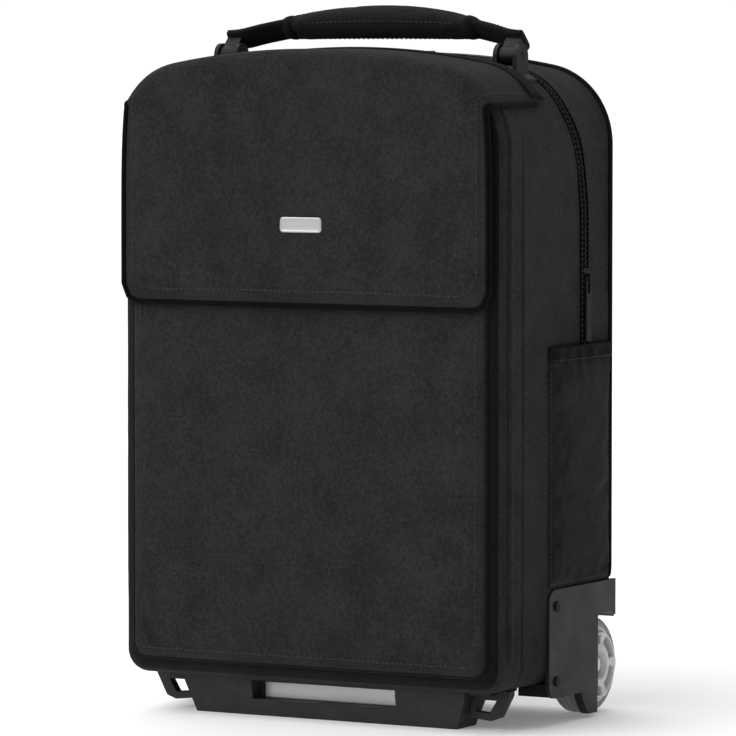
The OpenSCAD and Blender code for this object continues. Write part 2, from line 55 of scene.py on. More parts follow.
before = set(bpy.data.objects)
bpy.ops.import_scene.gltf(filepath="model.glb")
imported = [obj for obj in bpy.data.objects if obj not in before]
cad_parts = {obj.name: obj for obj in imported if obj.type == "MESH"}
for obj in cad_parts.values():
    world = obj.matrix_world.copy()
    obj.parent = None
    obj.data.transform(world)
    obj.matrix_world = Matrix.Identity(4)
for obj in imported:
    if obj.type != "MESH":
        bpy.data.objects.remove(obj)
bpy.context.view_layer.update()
MM = 0.001

# ---- sizes read from the frame ------------------------------------------------------

SHELL_LOW, SHELL_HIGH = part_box("shell")
HALF_W = SHELL_HIGH[0]
BASE_Z = SHELL_LOW[2]
TOP_Z = SHELL_HIGH[2]
FRONT_Y = SHELL_LOW[1]
BACK_Y = SHELL_HIGH[1]
FOOT_R = 18 * MM
CORNER_R = 60 * MM
CROWN_RISE = 9 * MM
EDGE_R = 12 * MM
WALL = 5 * MM
# The corners of the skin that the wheel housings take: in from the side, forward from the
# back, and up from the floor
WELL_IN = 39.5 * MM
WELL_FORWARD = 67 * MM
WELL_TOP = 86 * MM
# Rings in each flat cap of the soft body
CAP_RINGS = 22
# Backward lean of the carry handle at rest, and half the length of its grip
CARRY_LEAN = math.radians(43)
GRIP_HALF = 84 * MM
CORNER_X = HALF_W - CORNER_R
CROWN_R = (CORNER_X**2 + CROWN_RISE**2) / (2 * CROWN_RISE)
CROWN_Z = TOP_Z - CROWN_R
CORNER_Z = CROWN_Z + math.sqrt((CROWN_R - CORNER_R) ** 2 - CORNER_X**2)
CROWN_A = math.atan2(CORNER_Z - CROWN_Z, CORNER_X)
SHOULDER_Z = TOP_Z - 38 * MM
HINGE_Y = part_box("flap")[1][1]


# ---- mesh making ------------------------------------------------------------------


def unit(v):
    """Vectors made one long."""
    v = np.asarray(v, float)
    return v / np.maximum(np.linalg.norm(v, axis=-1, keepdims=True), 1e-12)


def outline_points(step=1 * MM, out=0.0):
    """Front-view outline of the case from the middle of its base, up its right side and
    round: x, z, outward normal x and z, and the length so far."""
    rows = []

    def arc(cx, cz, r, a0, a1):
        n = max(3, int(math.ceil(abs(a1 - a0) * (r + out) / step)))
        for i in range(n):
            a = a0 + (a1 - a0) * i / n
            rows.append(
                (cx + (r + out) * math.cos(a), cz + (r + out) * math.sin(a), math.cos(a), math.sin(a))
            )

    def line(x0, z0, x1, z1, nx, nz):
        n = max(3, int(math.ceil(math.hypot(x1 - x0, z1 - z0) / step)))
        for i in range(n):
            t = i / n
            rows.append((x0 + (x1 - x0) * t + nx * out, z0 + (z1 - z0) * t + nz * out, nx, nz))

    foot_x, foot_z, q = HALF_W - FOOT_R, BASE_Z + FOOT_R, math.pi / 2
    line(0, BASE_Z, foot_x, BASE_Z, 0, -1)
    arc(foot_x, foot_z, FOOT_R, -q, 0)
    line(HALF_W, foot_z, HALF_W, CORNER_Z, 1, 0)
    arc(CORNER_X, CORNER_Z, CORNER_R, 0, CROWN_A)
    arc(0, CROWN_Z, CROWN_R, CROWN_A, math.pi - CROWN_A)
    arc(-CORNER_X, CORNER_Z, CORNER_R, math.pi - CROWN_A, math.pi)
    line(-HALF_W, CORNER_Z, -HALF_W, foot_z, -1, 0)
    arc(-foot_x, foot_z, FOOT_R, math.pi, 3 * q)
    line(-foot_x, BASE_Z, 0, BASE_Z, 0, -1)
    a = np.array(rows)
    steps = np.hypot(*(np.roll(a[:, :2], -1, 0) - a[:, :2]).T)
    length = np.concatenate([[0], np.cumsum(steps)])
    return a, length[:-1], length[-1]


RING, RING_S, RING_LENGTH = outline_points()


def at_ring(s):
    """x, z and outward normal of the outline at lengths s along it."""
    s = np.mod(np.asarray(s, float), RING_LENGTH)
    ext = np.concatenate([RING, RING[:1]])
    ext_s = np.append(RING_S, RING_LENGTH)
    cols = [np.interp(s, ext_s, ext[:, k]) for k in range(4)]
    n = unit(np.stack(cols[2:], -1))
    return cols[0], cols[1], n[..., 0], n[..., 1]


def ring_up_to(z):
    """Length along the right side of the outline at which it reaches height z."""
    half = RING_S < RING_LENGTH / 2
    i = np.argmax((RING[:, 1] >= z) & half & (RING[:, 0] > 0.5 * HALF_W))
    return RING_S[i]


def ring_in_to(x):
    """Length along the outline at which it has come in over the top to this x."""
    half = (RING_S < RING_LENGTH / 2) & (RING[:, 1] > CORNER_Z)
    i = np.argmax((RING[:, 0] <= x) & half)
    return RING_S[i]


def on_case(s, y, out=0.0):
    """Points and normals on the case's surface, out metres proud of it."""
    x, z, nx, nz = at_ring(s)
    y = np.broadcast_to(y, x.shape)
    return np.stack([x + nx * out, y, z + nz * out], -1), np.stack([nx, 0 * nx, nz], -1)


def top_of(x):
    """Height and normal of the case's top at x."""
    x = np.asarray(x, float)
    over = np.abs(x) > CROWN_R * math.cos(CROWN_A)
    crown = CROWN_Z + np.sqrt(CROWN_R**2 - x**2)
    bend = np.clip(np.abs(x) - CORNER_X, 0, CORNER_R * 0.999)
    corner = CORNER_Z + np.sqrt(CORNER_R**2 - bend**2)
    nx = np.where(over, np.sign(x) * bend / CORNER_R, x / CROWN_R)
    return np.where(over, corner, crown), np.stack([nx, 0 * nx, np.sqrt(1 - nx**2)], -1)


def grid_faces(rows, cols, closed=False):
    """Quads of a grid of rows by cols vertices; closed joins the last column to the first."""
    faces = []
    for r in range(rows - 1):
        for c in range(cols if closed else cols - 1):
            d = (c + 1) % cols
            faces.append((r * cols + c, r * cols + d, (r + 1) * cols + d, (r + 1) * cols + c))
    return faces


def make(name, verts, faces, material=None, sharp=None):
    """A mesh object at the origin, smooth, with edges over the sharp angle kept crisp."""
    mesh = bpy.data.meshes.new(name)
    mesh.from_pydata([tuple(map(float, v)) for v in verts], [], [tuple(map(int, f)) for f in faces])
    obj = bpy.data.objects.new(name, mesh)
    bpy.context.scene.collection.objects.link(obj)
    if material:
        mesh.materials.append(material)
    shade(obj, sharp)
    return obj


def shade(obj, sharp=None):
    """Smooth shading, with edges over the sharp angle (degrees) kept crisp."""
    mesh = obj.data
    mesh.polygons.foreach_set("use_smooth", [True] * len(mesh.polygons))
    if sharp is not None:
        mesh.set_sharp_from_angle(angle=math.radians(sharp))
    mesh.update()


def bake(obj):
    """Applies every modifier of obj to its mesh."""
    bpy.context.view_layer.update()
    graph = bpy.context.evaluated_depsgraph_get()
    mesh = bpy.data.meshes.new_from_object(obj.evaluated_get(graph))
    obj.modifiers.clear()
    old = obj.data
    obj.data = mesh
    bpy.data.meshes.remove(old)


def cut(obj, cutter):
    """Takes cutter away from obj and removes it."""
    mod = obj.modifiers.new("cut", "BOOLEAN")
    mod.operation = "DIFFERENCE"
    mod.solver = "EXACT"
    mod.object = cutter
    bake(obj)
    bpy.data.objects.remove(cutter)


def block(low, high):
    """A box used as a cutter."""
    v = [(x, y, z) for x in (low[0], high[0]) for y in (low[1], high[1]) for z in (low[2], high[2])]
    f = [(0, 1, 3, 2), (4, 6, 7, 5), (0, 4, 5, 1), (2, 3, 7, 6), (0, 2, 6, 4), (1, 5, 7, 3)]
    return make("cutter", v, f)


def sweep(points, ups, section, closed=False, scale=None):
    """Vertices and faces of a closed section carried along a path."""
    p = np.asarray(points, float)
    n = len(p)
    if closed:
        t = unit(np.roll(p, -1, 0) - np.roll(p, 1, 0))
    else:
        t = unit(np.gradient(p, axis=0))
    side = unit(np.cross(t, ups))
    up = unit(np.cross(side, t))
    sec = np.asarray(section, float)
    k = np.ones(n) if scale is None else np.asarray(scale, float)
    verts = p[:, None] + (
        side[:, None] * sec[None, :, :1] + up[:, None] * sec[None, :, 1:]
    ) * k[:, None, None]
    m = len(sec)
    faces = grid_faces(n, m, closed=True)
    if closed:
        faces += [((n - 1) * m + c, (n - 1) * m + (c + 1) % m, (c + 1) % m, c) for c in range(m)]
    else:
        faces += [tuple(reversed(range(m))), tuple((n - 1) * m + c for c in range(m))]
    faces = [tuple(reversed(f)) for f in faces]
    return verts.reshape(-1, 3), faces


def round_section(rx, rz=None, sides=12, power=2.0):
    """A round or squarish section; a power over 2 squares it off."""
    rz = rx if rz is None else rz
    out = []
    for i in range(sides):
        a = 2 * math.pi * i / sides
        c, s = math.cos(a), math.sin(a)
        out.append(
            (rx * math.copysign(abs(c) ** (2 / power), c), rz * math.copysign(abs(s) ** (2 / power), s))
        )
    return out


def end_taper(n, steps=3):
    """Scale along a path that rounds off its two ends."""
    k = np.ones(n)
    for i in range(min(steps, n // 2)):
        v = math.sqrt(1 - (1 - (i + 0.35) / (steps + 0.35)) ** 2)
        k[i] = k[-1 - i] = v
    return k


def resample(points, pitch, extra=()):
    """Points every pitch along a path, with other arrays carried along it."""
    p = np.asarray(points, float)
    d = np.concatenate([[0], np.cumsum(np.linalg.norm(np.diff(p, axis=0), axis=1))])
    n = max(2, int(d[-1] / pitch))
    s = (np.arange(n) + 0.5) * d[-1] / n
    out = [
        np.stack([np.interp(s, d, a[:, k]) for k in range(a.shape[1])], -1)
        for a in (p, *map(np.asarray, extra))
    ]
    return out


def spindles(centres, axes, normals, half, radius, sink=0.35):
    """Vertices and faces of many short rounded threads or teeth, ends dipping inwards."""
    c, t, n = np.asarray(centres, float), unit(axes), unit(normals)
    b = unit(np.cross(t, n))
    n = unit(np.cross(b, t))
    sides, verts, faces = 6, [], []
    for i in range(len(c)):
        base = len(verts)
        verts.append(c[i] - t[i] * half - n[i] * radius * 2 * sink)
        for along, size, lift in ((-0.62, 0.9, -0.1), (0.0, 1.0, sink), (0.62, 0.9, -0.1)):
            for k in range(sides):
                a = 2 * math.pi * k / sides
                verts.append(
                    c[i] + t[i] * half * along + (b[i] * math.cos(a) + n[i] * (math.sin(a) + lift))
                    * radius * size
                )
        verts.append(c[i] + t[i] * half - n[i] * radius * 2 * sink)
        for k in range(sides):
            j = (k + 1) % sides
            faces.append((base, base + 1 + j, base + 1 + k))
            for r in range(2):
                o = base + 1 + r * sides
                faces.append((o + k, o + j, o + sides + j, o + sides + k))
            o = base + 1 + 2 * sides
            faces.append((o + k, o + j, base + 1 + 3 * sides))
    return verts, faces


def thread(name, runs, body, pitch=None, half=1.55 * MM, radius=0.42 * MM):
    """A sewn line: one object of stitches laid along each run of (points, normals)."""
    look = bpy.context.scene.flight_case
    pitch = pitch or look.stitch_pitch
    verts, faces = [], []
    for points, normals in runs:
        dense, up = resample(points, 1 * MM, [normals])
        c, n = resample(dense, pitch, [up])
        t = unit(np.gradient(c, axis=0))
        v, f = spindles(c, t, n, half, radius)
        faces += [tuple(i + len(verts) for i in q) for q in f]
        verts += list(v)
    obj = make(name, verts, faces, thread_material())
    return settle(obj, body)


def settle(obj, body, replaces=()):
    """Puts a piece on its body, in place of CAD nodes."""
    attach(obj, body)
    if replaces:
        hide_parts(*replaces)
    return obj


def soften(verts, depth, size, seed):
    """Smooth unevenness of hand-made cloth at each vertex, in metres."""
    out = np.zeros(len(verts))
    for i, v in enumerate(verts):
        p = Vector(v) / size + Vector((seed, seed * 1.7, -seed))
        out[i] = (noise.noise(p) + 0.5 * noise.noise(p * 2.3)) * depth
    return out


def puff(obj, sewn, pressure, cap, slack=0.012, frames=20):
    """Fills a sewn piece with air as cloth, then caps how far each point has moved."""
    start = np.array([v.co for v in obj.data.vertices])
    group = obj.vertex_groups.new(name="sewn")
    group.add([int(i) for i in sewn], 1.0, "REPLACE")
    mod = obj.modifiers.new("cloth", "CLOTH")
    cloth = mod.settings
    cloth.quality = 6
    cloth.mass = 0.2
    cloth.tension_stiffness = cloth.compression_stiffness = 12
    cloth.shear_stiffness = 6
    cloth.bending_stiffness = 0.4
    cloth.use_pressure = True
    cloth.uniform_pressure_force = pressure
    cloth.vertex_group_mass = "sewn"
    cloth.shrink_min = -slack
    cloth.effector_weights.gravity = 0
    mod.collision_settings.use_collision = False
    mod.point_cache.frame_start = 1
    mod.point_cache.frame_end = frames
    scene = bpy.context.scene
    for f in range(1, frames + 1):
        scene.frame_set(f)
    bake(obj)
    scene.frame_set(1)
    end = np.array([v.co for v in obj.data.vertices])
    move = end - start
    far = np.linalg.norm(move, axis=1, keepdims=True)
    if not np.isfinite(far).all() or far.max() < 1e-6:
        raise RuntimeError(f"{obj.name}: the cloth did not fill")
    move *= cap * np.tanh(far / cap) / np.maximum(far, 1e-9)
    obj.data.vertices.foreach_set("co", (start + move).ravel())
    obj.vertex_groups.clear()
    shade(obj)


# ---- shader groups and materials ----------------------------------------------------


class Nodes:
    """Short way to write a node tree."""

    def __init__(self, tree):
        self.tree = tree

    def add(self, kind, values=(), **settings):
        node = self.tree.nodes.new(kind)
        for key, value in settings.items():
            setattr(node, key, value)
        for key, value in dict(values).items():
            if isinstance(value, bpy.types.NodeSocket):
                self.tree.links.new(value, node.inputs[key])
            else:
                node.inputs[key].default_value = value
        return node

    def math(self, operation, a, b=0.0, c=0.0, clamp=False):
        return self.add(
            "ShaderNodeMath", {0: a, 1: b, 2: c}, operation=operation, use_clamp=clamp
        ).outputs[0]

    def step(self, value, low, high, out_low=0.0, out_high=1.0):
        node = self.add(
            "ShaderNodeMapRange",
            {"Value": value, "From Min": low, "From Max": high, "To Min": out_low, "To Max": out_high},
            interpolation_type="SMOOTHSTEP",
        )
        return node.outputs["Result"]

    def noise(self, where, scale, detail=2.0, rough=0.5):
        node = self.add(
            "ShaderNodeTexNoise", {"Vector": where, "Scale": scale, "Detail": detail, "Roughness": rough}
        )
        return node.outputs["Fac"]

    def mix(self, factor, a, b, how="MIX"):
        node = self.add("ShaderNodeMix", data_type="RGBA", blend_type=how)
        for key, value in ((0, factor), (6, a), (7, b)):
            if isinstance(value, bpy.types.NodeSocket):
                self.tree.links.new(value, node.inputs[key])
            else:
                node.inputs[key].default_value = value if key == 0 else (*value[:3], 1.0)
        return node.outputs[2]


def shader_group(name, inputs, outputs):
    """A new node group with float inputs and outputs, or None where it is already built."""
    if name in bpy.data.node_groups:
        return bpy.data.node_groups[name], None, None, None
    tree = bpy.data.node_groups.new(name, "ShaderNodeTree")
    for key, value in inputs.items():
        socket = tree.interface.new_socket(key, in_out="INPUT", socket_type="NodeSocketFloat")
        socket.default_value = value
    for key in outputs:
        tree.interface.new_socket(key, in_out="OUTPUT", socket_type="NodeSocketFloat")
    n = Nodes(tree)
    return tree, n, n.add("NodeGroupInput").outputs, n.add("NodeGroupOutput").inputs


def woven_group():
    """Basket weave of flat yarns that follows the front, sides and top of the case, with a mask of the gaps
    between yarns used for painted shade.
    """
    tree, n, get, put = shader_group(
        "Woven cloth", {"Pitch": 1.3 * MM, "Ply": 0.35}, ("Height", "Gap shade", "Melange")
    )
    if n is None:
        return tree
    coord = n.add("ShaderNodeTexCoord")
    p = n.add("ShaderNodeSeparateXYZ", {0: coord.outputs["Object"]}).outputs
    q = n.add("ShaderNodeSeparateXYZ", {0: coord.outputs["Normal"]}).outputs
    facing = n.math("GREATER_THAN", n.math("ABSOLUTE", q[1]), 0.7)
    across = n.math("ADD", n.math("MULTIPLY", facing, n.math("SUBTRACT", p[0], p[1])), p[1])
    aside = n.math("MULTIPLY", n.math("SUBTRACT", 1.0, facing), n.math("ABSOLUTE", p[0]))
    along = n.math("SUBTRACT", p[2], aside)
    turn = n.math("DIVIDE", 2 * math.pi, get["Pitch"])
    wobble = n.math("MULTIPLY", n.math("SUBTRACT", n.noise(coord.outputs["Object"], 90.0, 1.0), 0.5), 0.9)
    u = n.math("ADD", n.math("MULTIPLY", across, turn), wobble)
    v = n.math("ADD", n.math("MULTIPLY", along, turn), wobble)
    cells = n.math("MULTIPLY", n.math("SINE", u), n.math("SINE", v))
    over = n.step(cells, -0.12, 0.12)
    plies_u = n.math("SINE", n.math("MULTIPLY", u, 3.0))
    plies_v = n.math("SINE", n.math("MULTIPLY", v, 3.0))
    ply = n.math("ADD", n.math("MULTIPLY", over, n.math("SUBTRACT", plies_u, plies_v)), plies_v)
    round_yarn = n.math("POWER", n.math("ABSOLUTE", cells), 0.45)
    height = n.math("ADD", round_yarn, n.math("MULTIPLY", n.math("MULTIPLY", ply, get["Ply"]), 0.3))
    n.tree.links.new(height, put["Height"])
    # Mask of the gaps between yarns, used to paint shade into the cloth's colour.
    n.tree.links.new(n.step(round_yarn, 0.25, 0.75, 1.0, 0.0), put["Gap shade"])
    fine = n.noise(coord.outputs["Object"], 420.0, 3.0, 0.7)
    coarse = n.noise(coord.outputs["Object"], 34.0, 2.0)
    heather = n.math("ADD", n.math("MULTIPLY", fine, 0.7), n.math("MULTIPLY", coarse, 0.3))
    heather = n.math("ADD", heather, n.math("MULTIPLY", n.math("SUBTRACT", over, 0.5), 0.12))
    n.tree.links.new(n.step(heather, 0.36, 0.64), put["Melange"])
    return tree


def wear_group():
    """Rubbed outer edges, dust on upward faces and scuffs close to the floor."""
    tree, n, get, put = shader_group("Wear and dust", {"Rub": 1.0, "Dust": 1.0}, ("Edge", "Dust", "Scuff"))
    if n is None:
        return tree
    coord = n.add("ShaderNodeTexCoord").outputs
    geometry = n.add("ShaderNodeNewGeometry").outputs
    patch = n.noise(coord["Object"], 55.0, 4.0, 0.65)
    edge = n.math("MULTIPLY", n.step(geometry["Pointiness"], 0.515, 0.58), n.step(patch, 0.4, 0.62))
    n.tree.links.new(n.math("MULTIPLY", edge, get["Rub"], clamp=True), put["Edge"])
    up = n.add("ShaderNodeSeparateXYZ", {0: coord["Normal"]}).outputs[2]
    film = n.math(
        "MULTIPLY", n.step(up, 0.25, 1.0), n.step(n.noise(coord["Object"], 18.0, 5.0, 0.7), 0.35, 0.75)
    )
    n.tree.links.new(n.math("MULTIPLY", film, get["Dust"], clamp=True), put["Dust"])
    z = n.add("ShaderNodeSeparateXYZ", {0: coord["Object"]}).outputs[2]
    low = n.step(z, 0.0, 0.12, 1.0, 0.0)
    marks = n.step(n.noise(coord["Object"], 140.0, 5.0, 0.75), 0.52, 0.7)
    n.tree.links.new(
        n.math("MULTIPLY", n.math("MULTIPLY", low, marks), get["Rub"], clamp=True), put["Scuff"]
    )
    return tree


def mould_group():
    """Fine spark-eroded grain of moulded plastic, with slow waviness."""
    tree, n, get, put = shader_group("Moulded grain", {"Size": 0.7 * MM}, ("Height", "Sheen"))
    if n is None:
        return tree
    coord = n.add("ShaderNodeTexCoord").outputs["Object"]
    scale = n.math("DIVIDE", 1.0, get["Size"])
    cells = n.add(
        "ShaderNodeTexVoronoi", {"Vector": coord, "Scale": scale}, feature="SMOOTH_F1"
    ).outputs["Distance"]
    n.tree.links.new(
        n.math("ADD", cells, n.math("MULTIPLY", n.noise(coord, 60.0, 2.0), 0.6)), put["Height"]
    )
    n.tree.links.new(n.noise(coord, 24.0, 4.0, 0.6), put["Sheen"])
    return tree


def brushed_group():
    """Brush lines along one axis, the axis given by how far each is stretched."""
    tree, n, get, put = shader_group(
        "Brushed metal", {"Across X": 1.0, "Across Y": 1.0, "Across Z": 1.0}, ("Lines", "Smudge")
    )
    if n is None:
        return tree
    coord = n.add("ShaderNodeTexCoord").outputs["Object"]
    stretch = n.add(
        "ShaderNodeCombineXYZ", {0: get["Across X"], 1: get["Across Y"], 2: get["Across Z"]}
    ).outputs[0]
    where = n.add("ShaderNodeVectorMath", {0: coord, 1: stretch}, operation="MULTIPLY").outputs[0]
    n.tree.links.new(n.noise(where, 1.0, 3.0, 0.7), put["Lines"])
    n.tree.links.new(n.noise(coord, 30.0, 4.0, 0.6), put["Smudge"])
    return tree


def new_material(name, **sockets):
    """A material with its shader, whose plain values are set on its own sockets."""
    material = bpy.data.materials.new(name)
    material.use_nodes = True
    n = Nodes(material.node_tree)
    n.tree.nodes.clear()
    bsdf = n.add("ShaderNodeBsdfPrincipled")
    out = n.add("ShaderNodeOutputMaterial")
    n.tree.links.new(bsdf.outputs[0], out.inputs["Surface"])
    for key, value in sockets.items():
        bsdf.inputs[key.replace("_", " ")].default_value = value
    return material, n, bsdf


def place(n, tree, values=()):
    """A shader group placed in a material, and its outputs."""
    node = n.add("ShaderNodeGroup", node_tree=tree)
    for key, value in dict(values).items():
        node.inputs[key].default_value = value
    return node.outputs


def bump(n, bsdf, height, distance, strength=1.0, under=None):
    """A bump on the shader's normal, over another one where given."""
    node = n.add("ShaderNodeBump", {"Height": height, "Distance": distance, "Strength": strength})
    if under is not None:
        n.tree.links.new(under, node.inputs["Normal"])
    n.tree.links.new(node.outputs[0], bsdf.inputs["Normal"])
    return node.outputs[0]


def tint(colour, k):
    return tuple(min(1.0, c * k) for c in colour[:3])


def cloth_material(
    name, colour, pitch, depth=0.35 * MM, ply=0.35, crease=0.5 * MM, heather=0.5, wear=0.6, gloss=0.16
):
    """Woven cloth: yarns, heathered colour, painted shade between the yarns, soft creases, rubbed edges and
    dust.
    """
    if name in bpy.data.materials:
        return bpy.data.materials[name]
    material, n, bsdf = new_material(
        name, Specular_IOR_Level=gloss, Sheen_Weight=0.04, Sheen_Roughness=0.45, Sheen_Tint=(
            0.8, 0.82, 0.85, 1.0
        )
    )
    weave = place(n, woven_group(), {"Pitch": pitch, "Ply": ply})
    worn = place(n, wear_group(), {"Rub": wear, "Dust": 0.35})
    base = n.mix(weave["Melange"], tint(colour, 1 - heather), tint(colour, 1 + heather))
    # Painted shade: the cloth's colour is darkened in the gaps between yarns.
    base = n.mix(n.math("MULTIPLY", weave["Gap shade"], 0.55), base, tint(colour, 0.35))
    base = n.mix(n.math("MULTIPLY", worn["Edge"], 0.35), base, tint(colour, 2.6))
    base = n.mix(n.math("MULTIPLY", worn["Dust"], 0.05), base, (0.16, 0.155, 0.15))
    n.tree.links.new(base, bsdf.inputs["Base Color"])
    n.tree.links.new(n.step(weave["Melange"], 0.0, 1.0, 0.93, 0.74), bsdf.inputs["Roughness"])
    coord = n.add("ShaderNodeTexCoord").outputs["Object"]
    folds = n.noise(coord, 16.0, 3.0, 0.55)
    first = bump(n, bsdf, folds, crease * 6)
    bump(n, bsdf, weave["Height"], depth, under=first)
    return material


def plastic_material(name, colour, rough, grain=0.7 * MM, depth=0.06 * MM, wear=1.0, **sockets):
    """Moulded plastic or rubber: grain, sheen that varies, scuffs and rubbed edges."""
    if name in bpy.data.materials:
        return bpy.data.materials[name]
    material, n, bsdf = new_material(name, Specular_IOR_Level=0.2, **sockets)
    grained = place(n, mould_group(), {"Size": grain})
    worn = place(n, wear_group(), {"Rub": wear, "Dust": 0.8})
    base = n.mix(n.step(grained["Sheen"], 0.3, 0.7), tint(colour, 0.86), tint(colour, 1.14))
    base = n.mix(n.math("MULTIPLY", worn["Edge"], 0.3), base, tint(colour, 1.9))
    base = n.mix(n.math("MULTIPLY", worn["Scuff"], 0.06), base, (0.16, 0.155, 0.145))
    base = n.mix(n.math("MULTIPLY", worn["Dust"], 0.035), base, (0.2, 0.195, 0.185))
    n.tree.links.new(base, bsdf.inputs["Base Color"])
    shine = n.step(grained["Sheen"], 0.25, 0.75, rough - 0.07, rough + 0.1)
    n.tree.links.new(
        n.math("ADD", shine, n.math("MULTIPLY", worn["Scuff"], 0.2), clamp=True), bsdf.inputs["Roughness"]
    )
    bump(n, bsdf, grained["Height"], depth)
    return material


def metal_material(name, colour, rough, stretch, depth=0.02 * MM):
    """Brushed or plated metal: brush lines and smudges."""
    if name in bpy.data.materials:
        return bpy.data.materials[name]
    material, n, bsdf = new_material(name, Metallic=1.0)
    lines = place(n, brushed_group(), dict(zip(("Across X", "Across Y", "Across Z"), stretch)))
    worn = place(n, wear_group(), {"Rub": 0.6, "Dust": 0.5})
    base = n.mix(lines["Lines"], tint(colour, 0.82), tint(colour, 1.1))
    base = n.mix(n.math("MULTIPLY", worn["Dust"], 0.1), base, (0.4, 0.39, 0.37))
    n.tree.links.new(base, bsdf.inputs["Base Color"])
    shine = n.math(
        "ADD", n.step(lines["Lines"], 0.3, 0.7, rough - 0.08, rough + 0.08),
        n.math("MULTIPLY", lines["Smudge"], 0.12)
    )
    n.tree.links.new(shine, bsdf.inputs["Roughness"])
    bump(n, bsdf, lines["Lines"], depth)
    return material


def thread_material():
    """Twisted polyester sewing thread."""
    if "Sewing thread" in bpy.data.materials:
        return bpy.data.materials["Sewing thread"]
    look = bpy.context.scene.flight_case
    material, n, bsdf = new_material("Sewing thread", Specular_IOR_Level=0.35, Sheen_Weight=0.1)
    coord = n.add("ShaderNodeTexCoord").outputs["Object"]
    twist = n.noise(coord, 2600.0, 2.0)
    tone = n.noise(coord, 40.0, 2.0)
    base = n.mix(tone, tint(look.thread_colour, 0.7), tint(look.thread_colour, 1.35))
    n.tree.links.new(base, bsdf.inputs["Base Color"])
    n.tree.links.new(n.step(twist, 0.3, 0.7, 0.45, 0.7), bsdf.inputs["Roughness"])
    bump(n, bsdf, twist, 0.1 * MM)
    return material


def fabric():
    look = bpy.context.scene.flight_case
    return cloth_material("Body cloth", look.fabric_colour, look.weave_pitch)


def pouch_cloth():
    look = bpy.context.scene.flight_case
    return cloth_material(
        "Pouch cloth", tint(look.fabric_colour, 0.74), 1.0 * MM, depth=0.25 * MM, heather=0.4, gloss=0.12
    )


def webbing():
    look = bpy.context.scene.flight_case
    return cloth_material(
        "Trim webbing", look.trim_colour, 1.7 * MM, depth=0.4 * MM, ply=0.6, crease=0.1 * MM,
        heather=0.35, wear=0.9, gloss=0.1
    )


# Painted shade: black trim cloth darkened to half the trim colour, with little gloss, so that the flap's cord
# and the zip tape also stand for the shadow under the flap's edge and in the zip's groove.
def painted_shade_cord():
    look = bpy.context.scene.flight_case
    return cloth_material(
        "Edge cord", tint(look.trim_colour, 0.5), 0.9 * MM, depth=0.15 * MM, heather=0.2, gloss=0.04
    )


def lining():
    look = bpy.context.scene.flight_case
    return cloth_material(
        "Lining cloth", look.lining_colour, 0.7 * MM, depth=0.12 * MM, ply=0.2, heather=0.15, wear=0.1
    )


def guard_plastic():
    look = bpy.context.scene.flight_case
    return plastic_material("Guard plastic", look.guard_colour, 0.46, grain=1.0 * MM, depth=0.1 * MM)


def black_plastic():
    look = bpy.context.scene.flight_case
    return plastic_material("Black plastic", look.plastic_colour, 0.48)


def stand_plastic():
    look = bpy.context.scene.flight_case
    return plastic_material("Stand plastic", tint(look.plastic_colour, 2.1), 0.5, wear=2.0)


def handle_plastic():
    look = bpy.context.scene.flight_case
    return plastic_material("Handle plastic", tint(look.plastic_colour, 0.5), 0.5)


def tyre_rubber():
    look = bpy.context.scene.flight_case
    return plastic_material("Tread", look.tyre_colour, 0.6, grain=0.9 * MM, depth=0.12 * MM, wear=1.6)


def hub_plastic():
    look = bpy.context.scene.flight_case
    return plastic_material("Hub plastic", look.hub_colour, 0.38, grain=0.5 * MM, depth=0.03 * MM, wear=1.2)


def tube_metal():
    return metal_material("Anodised tube", (0.75, 0.76, 0.77), 0.3, (900.0, 900.0, 8.0))


def steel():
    return metal_material("Plated steel", (0.6, 0.6, 0.61), 0.26, (300.0, 300.0, 300.0))


def dark_steel():
    return metal_material("Blackened steel", (0.022, 0.022, 0.0225), 0.55, (300.0, 300.0, 300.0))


def satin():
    return metal_material("Satin silver", (0.42, 0.424, 0.428), 0.38, (12.0, 900.0, 900.0), depth=0.03 * MM)


def dress(nodes, material, bevel=0.8 * MM, segments=3, angle=32):
    """Gives CAD nodes a finish and rounds their edges without touching their meshes."""
    for name in nodes:
        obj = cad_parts[name]
        if not obj.material_slots:
            obj.data.materials.append(None)
        for s in obj.material_slots:
            s.link = "OBJECT"
            s.material = material
        if bevel:
            weld = obj.modifiers.new("weld", "WELD")
            weld.merge_threshold = 0.005 * MM
            flat = obj.modifiers.new("flat faces", "DECIMATE")
            flat.decimate_type = "DISSOLVE"
            flat.angle_limit = math.radians(0.6)
            mod = obj.modifiers.new("bevel", "BEVEL")
            mod.width = bevel
            mod.segments = segments
            mod.limit_method = "ANGLE"
            mod.angle_limit = math.radians(angle)
            mod.use_clamp_overlap = True
            normal = obj.modifiers.new("normals", "WEIGHTED_NORMAL")
            normal.keep_sharp = False


# ---- settings shown in the panel ----------------------------------------------------


def length(name, about, default, low=0.0, high=1.0):
    return FloatProperty(
        name=name, description=about, default=default, min=low, max=high, unit="LENGTH", precision=4
    )


def colour(name, about, default):
    return FloatVectorProperty(
        name=name, description=about, default=default, size=3, min=0.0, max=1.0, subtype="COLOR"
    )


